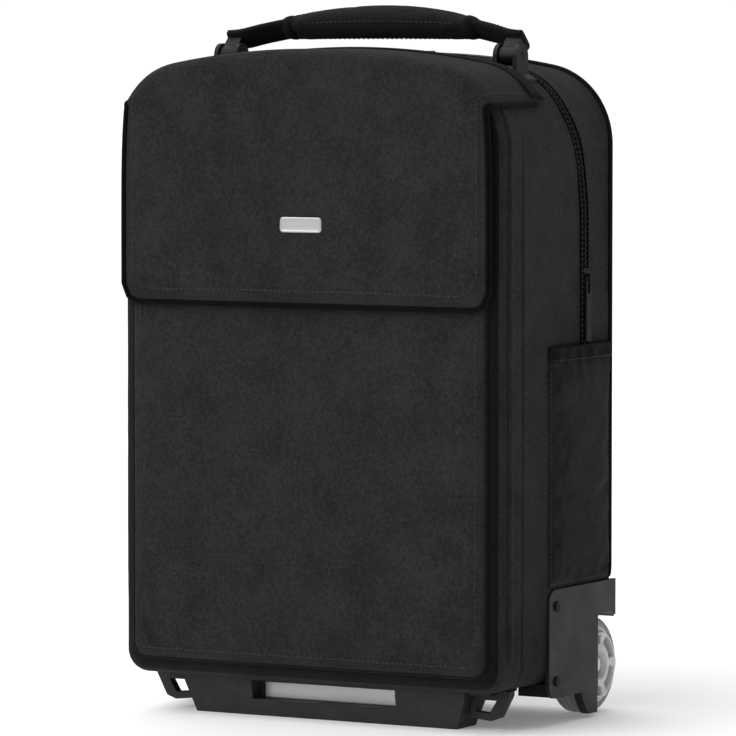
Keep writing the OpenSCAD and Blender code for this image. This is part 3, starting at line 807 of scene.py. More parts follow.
class FlightCaseSettings(bpy.types.PropertyGroup):
    weave_pitch: length(
        "Weave pitch", "Width of one cell of the body cloth's basket weave", 1.3 * MM, 0.5 * MM, 5 * MM
    )
    stitch_pitch: length(
        "Stitch pitch", "Distance from one sewing stitch to the next", 4.2 * MM, 2 * MM, 10 * MM
    )
    wrinkle_depth: length("Wrinkle depth", "Unevenness of the soft body", 0.9 * MM, 0.0, 5 * MM)
    pouch_swell: length("Pouch swell", "How far the side pouches may swell", 3.0 * MM, 0.0, 10 * MM)
    pad_swell: length("Pad swell", "How far the front pad and flap may swell", 1.6 * MM, 0.0, 5 * MM)
    fabric_colour: colour("Body cloth", "Colour of the body cloth", (0.0165, 0.0165, 0.0168))
    trim_colour: colour("Trim", "Colour of webbing, binding and tape", (0.0042, 0.0042, 0.0044))
    thread_colour: colour("Thread", "Colour of the sewing thread", (0.014, 0.014, 0.0145))
    lining_colour: colour("Lining", "Colour of the lining cloth", (0.055, 0.06, 0.068))
    guard_colour: colour("Corner guards", "Colour of the moulded corner guards", (0.0118, 0.0118, 0.0095))
    plastic_colour: colour("Black plastic", "Colour of the stand, tray and grips", (0.0085, 0.0085, 0.0083))
    tyre_colour: colour("Tyres", "Colour of the wheel treads", (0.29, 0.29, 0.286))
    hub_colour: colour("Hubs", "Colour of the wheel discs", (0.68, 0.685, 0.68))
    camera_distance: length("Camera distance", "Distance of the camera from the case", 4.16, 1.0, 20.0)


# ---- the soft body ----------------------------------------------------------------


def loft_body(name, inset, step, bend_rows=6, rows_y=(), settle_depth=0.0):
    """Closed soft body: round edges front and back, flat caps made of shrinking rings."""
    n = int(RING_LENGTH / step)
    s = np.arange(n) * RING_LENGTH / n
    x, z, nx, nz = at_ring(s)
    front, back = FRONT_Y + inset, BACK_Y - inset
    turns = [math.pi / 2 * i / bend_rows for i in range(bend_rows + 1)]
    bands = [(front + EDGE_R * (1 - math.cos(a)), inset + EDGE_R * (1 - math.sin(a))) for a in turns]
    y0, y1 = front + EDGE_R, back - EDGE_R
    inner = sorted(
        set(
            [y for y in rows_y if y0 < y < y1]
            + list(np.linspace(y0, y1, max(2, int((y1 - y0) / step)))[1:-1])
        )
    )
    bands += [(y, inset) for y in inner]
    bands += [(front + back - y, i) for y, i in reversed(bands[: bend_rows + 1])]
    rings = []
    centre_z = (BASE_Z + TOP_Z) / 2
    first = np.stack([x - nx * (inset + EDGE_R), 0 * x + front, z - nz * (inset + EDGE_R)], -1)
    caps = np.linspace(0, 1, CAP_RINGS + 2)[1:-1]
    for t in caps:
        ring = first * [t, 1, t] + [0, 0, centre_z * (1 - t)]
        rings.append(ring)
    for y, off in bands:
        rings.append(np.stack([x - nx * off, 0 * x + y, z - nz * off], -1))
    for t in reversed(caps):
        ring = first * [t, 1, t] + [0, 0, centre_z * (1 - t)]
        ring[:, 1] = back
        rings.append(ring)
    verts = [np.array([[0, front, centre_z]])] + rings + [np.array([[0, back, centre_z]])]
    verts = np.concatenate(verts)
    m = len(rings)
    faces = [tuple(i + 1 for i in f) for f in grid_faces(m, n, closed=True)]
    last = 1 + m * n
    faces += [(0, 1 + (c + 1) % n, 1 + c) for c in range(n)]
    faces += [(last, 1 + (m - 1) * n + c, 1 + (m - 1) * n + (c + 1) % n) for c in range(n)]
    faces = [tuple(reversed(f)) for f in faces]
    if settle_depth:
        verts = verts + body_unevenness(verts, settle_depth)
    return make(name, verts, faces)


def body_unevenness(verts, depth):
    """How the padded walls swell between seams, dip along them and wrinkle."""
    x, y, z = verts.T
    mid_z = np.clip((z - BASE_Z) / (TOP_Z - BASE_Z), 0, 1)
    side = np.clip((np.abs(x) - (HALF_W - 14 * MM)) / (14 * MM), 0, 1)
    on_side = side * np.clip((CORNER_Z + 20 * MM - z) / (40 * MM), 0, 1)
    panel = np.sin(np.clip((y - FRONT_Y - EDGE_R) / (BACK_Y - FRONT_Y - 2 * EDGE_R), 0, 1) * math.pi)
    swell = 1.6 * MM * on_side * panel**0.5 * np.sin(mid_z * math.pi) ** 0.5
    seam_y = FRONT_Y + 34 * MM
    seam = np.exp(-(((y - seam_y) / (1.5 * MM)) ** 2)) * on_side * 1.1 * MM
    near_floor = np.clip((BASE_Z + 60 * MM - z) / (60 * MM), 0, 1)
    wrinkle = soften(verts, depth, 70 * MM, 3.1) + soften(verts, depth * 0.45, 24 * MM, 7.7)
    edge_pull = np.exp(
        -(((np.abs(y - (FRONT_Y + BACK_Y) / 2) - (BACK_Y - FRONT_Y) / 2 + EDGE_R) / (5 * MM)) ** 2)
    )
    ripple = edge_pull * 0.25 * MM * np.sin(z / (5.5 * MM) + 2 * np.sin(z / (37 * MM))) * on_side
    out = np.zeros_like(verts)
    sign = np.sign(x)
    out[:, 0] = sign * (swell - seam + (wrinkle * (0.5 + 0.6 * near_floor) + ripple) * side)
    top = np.clip((z - CORNER_Z) / (TOP_Z - CORNER_Z), 0, 1)
    out[:, 2] = wrinkle * 0.45 * top
    face = np.clip((np.abs(y - (FRONT_Y + BACK_Y) / 2) - (BACK_Y - FRONT_Y) / 2 + 3 * MM) / (3 * MM), 0, 1)
    inner = np.clip((HALF_W - np.abs(x)) / (50 * MM), 0, 1) * np.clip((z - BASE_Z) / (50 * MM), 0, 1)
    out[:, 1] = np.where(y > 0, wrinkle * 0.5 * face * inner, 0.0)
    return out


class CASE_OT_body(bpy.types.Operator):
    """Build the padded body skin with its mouth, tray and wheel openings"""

    bl_idname = "flight_case.body"
    bl_label = "Body skin"

    def execute(self, context):
        look = context.scene.flight_case
        skin = loft_body(
            "case_skin", 0.0, 5 * MM, rows_y=[FRONT_Y + d * MM for d in (31, 32.5, 34, 35.5, 37)],
            settle_depth=look.wrinkle_depth
        )
        hollow = loft_body("hollow", WALL, 12 * MM, bend_rows=3)
        house_x = HALF_W - WELL_IN
        house_y = BACK_Y - WELL_FORWARD
        house_z = WELL_TOP
        for k in (1, -1):
            low = [min(k * (house_x - 4 * MM), k * (HALF_W + 9 * MM)), house_y - 4 * MM, 0]
            high = [max(k * (house_x - 4 * MM), k * (HALF_W + 9 * MM)), BACK_Y + 9 * MM, house_z + 4 * MM]
            cut(hollow, block(low, high))
        cut(skin, hollow)
        for k in (1, -1):
            low = [min(k * house_x, k * (HALF_W + 20 * MM)), house_y, -0.01]
            high = [max(k * house_x, k * (HALF_W + 20 * MM)), BACK_Y + 20 * MM, house_z]
            cut(skin, block(low, high))
        mouth_low, mouth_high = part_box("mouth_binding")
        cut(
            skin,
            block((mouth_low[0], mouth_low[1], CORNER_Z), (mouth_high[0], mouth_high[1], TOP_Z + 9 * MM))
        )
        tray_low, tray_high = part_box("trolley_bezel")
        cut(
            skin,
            block((tray_low[0], tray_low[1], tray_low[2]), (tray_high[0], tray_high[1], TOP_Z + 9 * MM))
        )
        skin.data.materials.clear()
        skin.data.materials.append(fabric())
        skin.data.materials.append(lining())
        skin.data.materials.append(webbing())
        centres = np.array([poly.center for poly in skin.data.polygons])
        kinds = self.cloth_of(centres)
        skin.data.polygons.foreach_set("material_index", kinds)
        shade(skin, 40)
        settle(skin, "case", ["shell"])
        return {"FINISHED"}

    @staticmethod
    def cloth_of(centres):
        """Which cloth each face of the skin is: 0 body cloth, 1 lining, 2 edge binding, dark trim on the front
        rim that also paints the shade in the gap beside the front pad.
        """
        ring = RING[::4]
        depth = []
        for part in np.array_split(centres, 40):
            away = part[:, None, [0, 2]] - ring[None, :, :2]
            near = (away**2).sum(-1).argmin(1)
            depth.append(-(away[np.arange(len(part)), near] * ring[near, 2:]).sum(-1))
        depth = np.concatenate(depth)
        y = centres[:, 1]
        edge = np.minimum(y - FRONT_Y, BACK_Y - y)
        drop = np.clip(1 - edge / EDGE_R, 0, 1)
        rounding = EDGE_R * (1 - np.sqrt(1 - drop**2))
        inside = (depth > rounding + 2.3 * MM) & (edge > 2.3 * MM)
        # Partly painted shade: the skin's front rim takes the dark trim cloth, which also stands for the shade
        # in the gap beside the front pad.
        bound = y < FRONT_Y + 4 * MM
        return np.where(inside, 1, np.where(bound, 2, 0))


class CASE_OT_piping(bpy.types.Operator):
    """Build the round cords sewn along the front and rear edges, and the side seams"""

    bl_idname = "flight_case.piping"
    bl_label = "Piping and seams"

    def execute(self, context):
        front_y = sum(b[1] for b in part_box("front_piping")) / 2
        rear_y = sum(b[1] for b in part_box("rear_piping")) / 2
        foot, shoulder = ring_up_to(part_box("front_piping")[0][2]), ring_up_to(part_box("front_piping")[1][2])
        heel = ring_up_to(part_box("rear_piping")[0][2])
        tray = ring_in_to(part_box("trolley_bezel")[1][0] + 2 * MM)
        self.cords("front_cords", foot, shoulder, front_y, ["front_piping"], fabric())
        self.cords("rear_cords", heel, tray, rear_y, ["rear_piping"], webbing())
        runs = []
        for y, s0, s1 in (
            (front_y + 5 * MM, foot, shoulder), (rear_y - 5 * MM, heel, tray),
            (FRONT_Y + 37.5 * MM, foot, shoulder)
        ):
            for k in (0, 1):
                s = np.linspace(s0, s1, 400)
                s = RING_LENGTH - s if k else s
                out = 0.25 * MM + 1.35 * MM * np.sin(np.linspace(0, 1, 400) * math.pi) ** 0.5
                out *= np.clip((CORNER_Z + 20 * MM - at_ring(s)[1]) / (40 * MM), 0, 1)
                p, n = on_case(s, y, 0.0)
                p = p + n * out[:, None] * (0.75 if y == FRONT_Y + 37.5 * MM else 0.45)
                runs.append((p, n))
        thread("seam_stitches", runs, "case")
        return {"FINISHED"}

    @staticmethod
    def cords(name, s0, s1, y, nodes, material):
        verts, faces = [], []
        for k in (0, 1):
            s = np.linspace(s0, s1, 150)
            s = RING_LENGTH - s if k else s
            p, n = on_case(s, y, 0.9 * MM)
            v, f = sweep(p, n, round_section(2.0 * MM, sides=12), scale=end_taper(len(p)))
            faces += [tuple(i + len(verts) for i in q) for q in f]
            verts += list(v)
        settle(make(name, verts, faces, material), "case", nodes)


# ---- front pad and flap ---------------------------------------------------------------


def rounded_rows(low, high, r, step):
    """Heights of rows from low to high, closer together in the rounded corners."""
    corner = [r * (1 - math.cos(math.pi / 2 * i / 5)) for i in range(5)]
    n = max(2, int((high - low - 2 * r) / step))
    mid = list(np.linspace(low + r, high - r, n))
    return np.array([low + c for c in corner] + mid + [high - c for c in reversed(corner)])


def half_width(z, low, high, half, r):
    """Half the width of a rounded rectangle at height z."""
    d = np.minimum(z - low, high - z)
    d = np.clip(d, 0, r)
    return half - r + np.sqrt(np.maximum(r * r - (r - d) ** 2, 0))


def rim_loop(rows, cols):
    """Indices round the edge of a grid, starting at its first corner."""
    return (
        [c for c in range(cols)]
        + [r * cols + cols - 1 for r in range(1, rows)]
        + [(rows - 1) * cols + c for c in range(cols - 2, -1, -1)]
        + [r * cols for r in range(rows - 2, 0, -1)]
    )


def thicken(obj, depth, bevel=0.0, offset=-1.0):
    """Gives a cloth surface its thickness and rounds its edges."""
    mod = obj.modifiers.new("thickness", "SOLIDIFY")
    mod.thickness = depth
    mod.offset = offset
    mod.use_even_offset = True
    bake(obj)
    if bevel:
        mod = obj.modifiers.new("edges", "BEVEL")
        mod.width = bevel
        mod.segments = 3
        mod.limit_method = "ANGLE"
        mod.angle_limit = math.radians(50)
        bake(obj)
    shade(obj)


class CASE_OT_front_pad(bpy.types.Operator):
    """Build the padded front panel with its stitched edge, bound with dark trim that also paints the shade in
    the gap beside it
    """

    bl_idname = "flight_case.front_pad"
    bl_label = "Front pad"

    def execute(self, context):
        look = context.scene.flight_case
        low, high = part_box("front_panel")
        half, z0, z1, r = high[0] - 0.4 * MM, low[2] + 0.4 * MM, high[2] - 0.4 * MM, 12 * MM
        rows = rounded_rows(z0, z1, r, 6 * MM)
        cols = 53
        u = np.sin(np.linspace(-1, 1, cols) * math.pi / 2 * 0.86) / math.sin(math.pi / 2 * 0.86)
        x = half_width(rows, z0, z1, half, r)[:, None] * u[None]
        z = np.repeat(rows[:, None], cols, 1)
        d = np.minimum(np.minimum(half_width(rows, z0, z1, half, r)[:, None] - np.abs(x), z - z0), z1 - z)
        t = np.clip(d / (7 * MM), 0, 1)
        rise = (FRONT_Y - low[1]) * (0.25 + 0.75 * np.sqrt(1 - (1 - t) ** 2))
        flap_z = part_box("flap")[0][2]
        free = np.clip((flap_z - 8 * MM - z) / (30 * MM), 0, 1)
        verts = np.stack([x, FRONT_Y - rise, z], -1).reshape(-1, 3)
        pad = make("front_pad", verts, grid_faces(len(rows), cols), fabric())
        sewn = np.nonzero((d < 3 * MM).ravel() | (free.ravel() < 0.02))[0]
        puff(pad, sewn, 2.5, look.pad_swell, slack=0.006)
        co = np.array([v.co for v in pad.data.vertices])
        co[:, 1] -= soften(
            co, 0.35 * MM, 60 * MM, 5.2
        ) * np.clip(d.ravel() / (20 * MM), 0, 1) * free.ravel()
        pad.data.vertices.foreach_set("co", co.ravel())
        rim = rim_loop(len(rows), cols)
        edge = co[rim]
        thicken(pad, 0.9 * MM)
        settle(pad, "case", ["front_panel"])
        # A dark binding tube round the pad's edge, not in the frame: trim, and also painted shade for the dark
        # gap between the pad and the side.
        ups = np.tile([0.0, -1.0, 0.0], (len(edge), 1))
        v, f = sweep(edge + [0, 0.2 * MM, 0], ups, round_section(1.5 * MM, 1.4 * MM, sides=10), closed=True)
        settle(make("front_pad_binding_painted_shade", v, f, webbing()), "case")
        inner = co.reshape(len(rows), cols, 3)
        run = self.inset_run(half, z0, z1, r, 7.5 * MM, inner)
        thread("front_pad_stitches", [run], "case")
        return {"FINISHED"}

    @staticmethod
    def inset_run(half, z0, z1, r, inset, surface):
        """A stitch line inset from the pad's edge, lying on its surface."""
        n_rows, n_cols = surface.shape[:2]
        tree = BVHTree.FromPolygons([tuple(v) for v in surface.reshape(-1, 3)], grid_faces(n_rows, n_cols))
        h, lo, hi, k = half - inset, z0 + inset, z1 - inset, max(r - inset, 3 * MM)
        path = []
        for cx, cz, a0 in (
            (h - k, lo + k, -90), (h - k, hi - k, 0), (-h + k, hi - k, 90), (-h + k, lo + k, 180)
        ):
            for i in range(9):
                a = math.radians(a0 + 90 * i / 8)
                path.append((cx + k * math.cos(a), cz + k * math.sin(a)))
        path.append(path[0])
        path = resample(np.array(path), 3 * MM)[0]
        points = []
        for px, pz in path:
            hit = tree.ray_cast(Vector((px, -0.2, pz)), Vector((0, 1, 0)))[0]
            points.append((px, (hit.y if hit else FRONT_Y) - 0.1 * MM, pz))
        return np.array(points), np.tile([0.0, -1.0, 0.0], (len(points), 1))


class CASE_OT_flap(bpy.types.Operator):
    """Build the wrap-over flap as one curved sheet with piping and stitching"""

    bl_idname = "flight_case.flap"
    bl_label = "Flap"

    def execute(self, context):
        look = context.scene.flight_case
        low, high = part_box("flap")
        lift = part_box("flap")[1][2] - TOP_Z
        half, z0, r = 161 * MM, low[2], 14 * MM
        outer_y, cols = low[1], 75
        bend = 10 * MM
        a0 = math.asin((SHOULDER_Z + 2 * MM - CORNER_Z) / (CORNER_R + lift))
        arcs = []
        for i in range(60):
            a = a0 + (CROWN_A - a0) * i / 60
            arcs.append(
                (
                    CORNER_X + (CORNER_R + lift) * math.cos(a),
                    CORNER_Z + (CORNER_R + lift) * math.sin(a), math.cos(a), math.sin(a)
                )
            )
        for i in range(61):
            a = CROWN_A + (math.pi / 2 - CROWN_A) * i / 60
            arcs.append(
                (
                    (CROWN_R + lift) * math.cos(a), CROWN_Z + (CROWN_R + lift) * math.sin(a), math.cos(a),
                    math.sin(a)
                )
            )
        right = np.array(arcs)
        left = right[::-1][1:] * [-1, 1, -1, 1]
        arcs = np.concatenate([right, left])
        run = np.concatenate([[0], np.cumsum(np.hypot(*np.diff(arcs[:, :2], axis=0).T))])
        share = np.linspace(0, 1, cols)
        top = np.stack([np.interp(share * run[-1], run, arcs[:, k]) for k in range(4)], -1)
        top[:, 2:] = unit(top[:, 2:])
        near_end = np.clip(1 - np.minimum(share, 1 - share) * run[-1] / (30 * MM), 0, 1) ** 1.5
        top[:, :2] -= top[:, 2:] * (2.0 * MM * near_end)[:, None]
        turn = bend * (1 - 0.6 * near_end)
        foot_x = half * (1 - 2 * share)
        foot_z = z0 + r - np.sqrt(np.maximum(r * r - np.clip(np.abs(foot_x) - half + r, 0, r) ** 2, 0))
        rows, rows_front = [], 34
        for i in range(rows_front):
            f = i / (rows_front - 1)
            px = foot_x + (top[:, 0] - turn * top[:, 2] - foot_x) * f
            keep = f**4
            wide = foot_x * (1 - keep) + px * keep
            pz = foot_z + (top[:, 1] - turn * top[:, 3] - foot_z) * f
            rows.append(np.stack([wide, 0 * px + outer_y, pz], -1))
        for i in range(1, 7):
            a = math.pi / 2 * i / 6
            k = turn * (math.sin(a) - 1)
            rows.append(
                np.stack(
                    [
                        top[:, 0] + k * top[:, 2], 0 * top[:, 0] + outer_y + bend * (1 - math.cos(a)),
                        top[:, 1] + k * top[:, 3]
                    ],
                    -1
                )
            )
        hug = 0.6 * MM * near_end
        for y in np.linspace(outer_y + bend, high[1], 17)[1:]:
            k = -hug * min(1.0, (y - outer_y - bend) / (12 * MM))
            rows.append(
                np.stack([top[:, 0] + k * top[:, 2], 0 * top[:, 0] + y, top[:, 1] + k * top[:, 3]], -1)
            )
        verts = np.array(rows)
        n_rows = len(rows)
        du = np.minimum(np.arange(cols), np.arange(cols)[::-1]) * (2 * half / (cols - 1))
        dv = np.arange(n_rows) * 5.2 * MM
        d = np.minimum(du[None], dv[:, None])
        is_front = np.arange(n_rows)[:, None] < rows_front
        cover = make(
            "flap_cover", verts.reshape(-1, 3), [tuple(reversed(f)) for f in grid_faces(n_rows, cols)],
            fabric()
        )
        sewn = np.nonzero(((d < 6 * MM) | ~np.broadcast_to(is_front, d.shape)).ravel())[0]
        puff(cover, sewn, 2.0, look.pad_swell, slack=0.005)
        co = np.array([v.co for v in cover.data.vertices])
        grow = np.clip(d / (26 * MM), 0, 1) * is_front
        co[:, 1] -= (soften(co, 0.45 * MM, 75 * MM, 9.4) * grow.ravel())
        cover.data.vertices.foreach_set("co", co.ravel())
        surface = co.reshape(n_rows, cols, 3)
        thicken(cover, 2.4 * MM, bevel=0.9 * MM, offset=-1.0)
        settle(cover, "flap_lid", ["flap"])
        self.edging(surface, n_rows, cols)
        return {"FINISHED"}

    @staticmethod
    def edging(surface, n_rows, cols):
        """Cord round the flap's free edge, made thick and dark as its piping and as painted shadow under the
        edge, and the stitch line beside it.
        """
        du = unit(np.gradient(surface, axis=1))
        dv = unit(np.gradient(surface, axis=0))
        out = unit(np.cross(du, dv))
        if out[5, cols // 2, 1] > 0:
            out = -out
        order = [
            (r, 0) for r in range(n_rows - 1, 0, -1)
        ] + [(0, c) for c in range(cols)] + [(r, cols - 1) for r in range(1, n_rows)]
        path = np.array([surface[i] for i in order])
        ups = np.array([out[i] for i in order])
        path_d, ups_d = resample(path, 3.5 * MM, [ups])
        # Painted shadow: the cord is made thick, set in by 1.4 mm and given the darkened cloth so that it also
        # stands for the shadow line under the flap's edge.
        v, f = sweep(
            path_d - ups_d * 1.4 * MM, ups_d, round_section(2.7 * MM, sides=14),
            scale=end_taper(len(path_d))
        )
        settle(make("flap_cord_painted_shadow", v, f, painted_shade_cord()), "flap_lid", ["flap_piping"])
        k = 7.0 * MM
        ku, kv = int(round(k / (322 * MM / (cols - 1)))), int(round(k / (5.2 * MM))) + 1
        order = (
            [(r, ku) for r in range(n_rows - 2, kv + 1, -1)]
            + [(kv, c) for c in range(ku + 2, cols - ku - 2)]
            + [(r, cols - 1 - ku) for r in range(kv + 2, n_rows - 1)]
        )
        path = np.array([surface[i] for i in order])
        ups = np.array([out[i] for i in order])
        for _ in range(3):
            path[1:-1] = (path[:-2] + path[1:-1] * 2 + path[2:]) / 4
        path = path + ups * 0.12 * MM
        thread("flap_stitches", [(path, ups)], "flap_lid")


class CASE_OT_name_plate(bpy.types.Operator):
    """Build the blank name plate with its raised rim"""

    bl_idname = "flight_case.name_plate"
    bl_label = "Name plate"

    def execute(self, context):
        low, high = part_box("badge")
        cx, cz = (low[0] + high[0]) / 2, (low[2] + high[2]) / 2
        hx, hz = (high[0] - low[0]) / 2, (high[2] - low[2]) / 2
        y_back, y_face = high[1], low[1] - 1.6 * MM
        profile = [
            (0.0, y_back), (0.0, y_face + 0.7 * MM), (0.25 * MM, y_face + 0.25 * MM), (0.8 * MM, y_face),
            (1.3 * MM, y_face), (1.7 * MM, y_face + 0.35 * MM), (2.1 * MM, y_face + 0.45 * MM)
        ]
        verts, sides = [], 12
        for inset, y in profile:
            for qx, qz, a0 in ((1, -1, -90), (1, 1, 0), (-1, 1, 90), (-1, -1, 180)):
                r = max(3 * MM - inset, 0.6 * MM)
                for i in range(sides + 1):
                    a = math.radians(a0 + 90 * i / sides)
                    verts.append(
                        (
                            cx + qx * (hx - inset - r) + r * math.cos(a), y,
                            cz + qz * (hz - inset - r) + r * math.sin(a)
                        )
                    )
        m = 4 * (sides + 1)
        faces = [tuple(reversed(f)) for f in grid_faces(len(profile), m, closed=True)]
        faces += [tuple(range(m)), tuple(reversed(range((len(profile) - 1) * m, len(profile) * m)))]
        plate = make("name_plate", verts, [tuple(reversed(f)) for f in faces], satin(), sharp=50)
        settle(plate, "flap_lid", ["badge"])
        return {"FINISHED"}


class CASE_OT_hinge_and_mouth(bpy.types.Operator):
    """Build the cloth hinge of the flap and the bound mouth under it"""

    bl_idname = "flight_case.hinge_and_mouth"
    bl_label = "Hinge and mouth binding"

    def execute(self, context):
        s0 = ring_up_to(SHOULDER_Z + 3 * MM)
        s = np.linspace(s0, RING_LENGTH - s0, 90)
        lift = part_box("flap")[1][2] - TOP_Z
        rows = []
        for y, out in (
            (-15, lift + 0.4 * MM), (-9, lift + 0.7 * MM), (-4, lift + 0.9 * MM), (0, lift + 0.6 * MM),
            (2.5, lift * 0.7), (5, 1.9 * MM), (7, 1.5 * MM), (9.5, 1.3 * MM), (12, 0.9 * MM)
        ):
            rows.append(on_case(s, HINGE_Y + y * MM, out)[0])
        tape = make("hinge_tape", np.array(rows).reshape(-1, 3), grid_faces(len(rows), len(s)), webbing())
        thicken(tape, 0.8 * MM, offset=0.0)
        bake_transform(tape)
        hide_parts("flap_hinge_strip")
        low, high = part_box("mouth_binding")
        path = []
        r = 6 * MM
        for cx, cy, a0 in (
            (high[0] - r, low[1] + r, -90), (high[0] - r, high[1] - r, 0), (low[0] + r, high[1] - r, 90),
            (low[0] + r, low[1] + r, 180)
        ):
            for i in range(7):
                a = math.radians(a0 + 90 * i / 6)
                path.append((cx + r * math.cos(a), cy + r * math.sin(a)))
        path.append(path[0])
        path = resample(np.array(path), 4 * MM)[0]
        z, up = top_of(path[:, 0])
        points = np.stack([path[:, 0], path[:, 1], z], -1) - up * 1.6 * MM
        v, f = sweep(points, up, round_section(2.2 * MM, 1.9 * MM, sides=12, power=3.0), closed=True)
        settle(make("mouth_edge_tape", v, f, webbing()), "case", ["mouth_binding"])
        return {"FINISHED"}


# ---- pockets and zip ------------------------------------------------------------------


class CASE_OT_pouches(bpy.types.Operator):
    """Build the open-topped side pouches with their elastic hems"""

    bl_idname = "flight_case.pouches"
    bl_label = "Side pouches"

    def execute(self, context):
        for side, k in (("right", 1), ("left", -1)):
            self.pouch(context.scene.flight_case, side, k)
        return {"FINISHED"}

    def pouch(self, look, side, k):
        low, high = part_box(f"side_pocket_{side}")
        y0, y1, z0, z1 = low[1], high[1], low[2], high[2]
        out = max(abs(low[0]), abs(high[0])) - HALF_W
        cols, rows = 35, 56
        u = np.linspace(0, 1, cols)
        v = np.linspace(0, 1, rows)
        uu, vv = np.meshgrid(u, v)
        d = np.minimum(np.minimum(uu, 1 - uu) * (y1 - y0), vv * (z1 - z0))
        t = np.clip((d - 2.5 * MM) / (13 * MM), 0, 1)
        rise = 1.2 * MM + (out - 2.6 * MM) * np.sqrt(1 - (1 - t) ** 2)
        gather = np.clip((vv - 0.72) / 0.28, 0, 1)
        folds = 0.55 * MM * np.sin(uu * 31 + 1.3 * np.sin(uu * 9 + vv * 3)) * gather * t
        verts = np.stack([k * (HALF_W + rise + folds), y0 + uu * (y1 - y0), z0 + vv * (z1 - z0)], -1)
        faces = grid_faces(rows, cols)
        faces = faces if k > 0 else [tuple(reversed(f)) for f in faces]
        cloth = make(f"side_pouch_{side}", verts.reshape(-1, 3), faces, pouch_cloth())
        sewn = np.nonzero(((d < 3.4 * MM) | (vv > 0.995)).ravel())[0]
        puff(cloth, sewn, 2.5, look.pouch_swell, slack=0.02)
        co = np.array([w.co for w in cloth.data.vertices])
        co[:, 0] += k * soften(co, 0.5 * MM, 34 * MM, 11.0 + k) * np.clip(d.ravel() / (12 * MM), 0, 1)
        cloth.data.vertices.foreach_set("co", co.ravel())
        surface = co.reshape(rows, cols, 3)
        thicken(cloth, 1.3 * MM)
        settle(cloth, "case", [f"side_pocket_{side}"])
        hem_rows = [r for r in range(rows) if (1 - v[r]) * (z1 - z0) < 13 * MM]
        band = surface[hem_rows[0]:].copy()
        band[:, :, 0] += k * 0.55 * MM
        ridge = np.sin(np.arange(band.shape[1]) * 1.9) * 0.18 * MM
        band[:, :, 0] += k * ridge[None]
        cap = band[-1:].copy()
        cap[:, :, 2] += 1.0 * MM
        cap[:, :, 0] -= k * 0.9 * MM
        inner = band[::-1][:3].copy()
        inner[:, :, 0] -= k * 2.6 * MM
        band = np.concatenate([band, cap, inner])
        faces = grid_faces(len(band), cols)
        faces = faces if k > 0 else [tuple(reversed(f)) for f in faces]
        hem = make(f"pouch_hem_{side}", band.reshape(-1, 3), faces, webbing())
        thicken(hem, 0.5 * MM, offset=1.0)
        settle(hem, "case", ["pocket_hems"] if k > 0 else [])
        runs = []
        inset_u, inset_v = 1, 1
        last_u, last_row = cols - 1 - inset_u, rows - 5
        path = [(r, inset_u) for r in range(last_row - 1, inset_v, -1)]
        path += [(inset_v, c) for c in range(inset_u, cols - inset_u)]
        path += [(r, last_u) for r in range(inset_v + 1, last_row)]
        p = np.array([surface[i] for i in path])
        n = np.tile([float(k), 0.0, 0.0], (len(p), 1))
        p[:, 0] += k * 0.15 * MM
        runs.append((p, n))
        top = surface[hem_rows[0]].copy()
        top[:, 0] += k * 1.25 * MM
        top[:, 2] += 1.5 * MM
        runs.append((top[1:-1], np.tile([float(k), 0.0, 0.0], (cols - 2, 1))))
        thread(f"pouch_stitches_{side}", runs, "case")


def zip_path(pitch):
    """Middle line of the zip up one side, over the shoulder and down the other."""
    foot_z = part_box("zip_tape")[0][2]
    slide_y = sum(b[1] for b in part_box("zip_slider")) / 2
    low_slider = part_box("zip_slider")[0][2]
    top_y = slide_y - 20 * MM
    s0 = ring_up_to(foot_z)
    s = np.arange(s0, RING_LENGTH - s0, pitch)
    z = at_ring(s)[1]
    over = (s > ring_up_to(CORNER_Z + 10 * MM)) & (s < RING_LENGTH - ring_up_to(CORNER_Z + 10 * MM))
    bend = low_slider + 58 * MM
    lean = SHOULDER_Z - 6 * MM
    y = np.interp(z, [bend, (bend + lean) / 2, lean], [slide_y, slide_y - 5 * MM, top_y])
    y = np.where(over & (z > lean), top_y, y)
    kernel = np.ones(int(24 * MM / pitch))
    smooth = np.convolve(
        np.pad(y, len(kernel), mode="edge"), kernel / kernel.sum(), mode="same"
    )[len(kernel):-len(kernel)]
    bulge = 0.6 * MM + 1.8 * MM * np.clip((CORNER_Z + 10 * MM - z) / (60 * MM), 0, 1)
    p, n = on_case(s, smooth, 0.0)
    return p + n * bulge[:, None], n


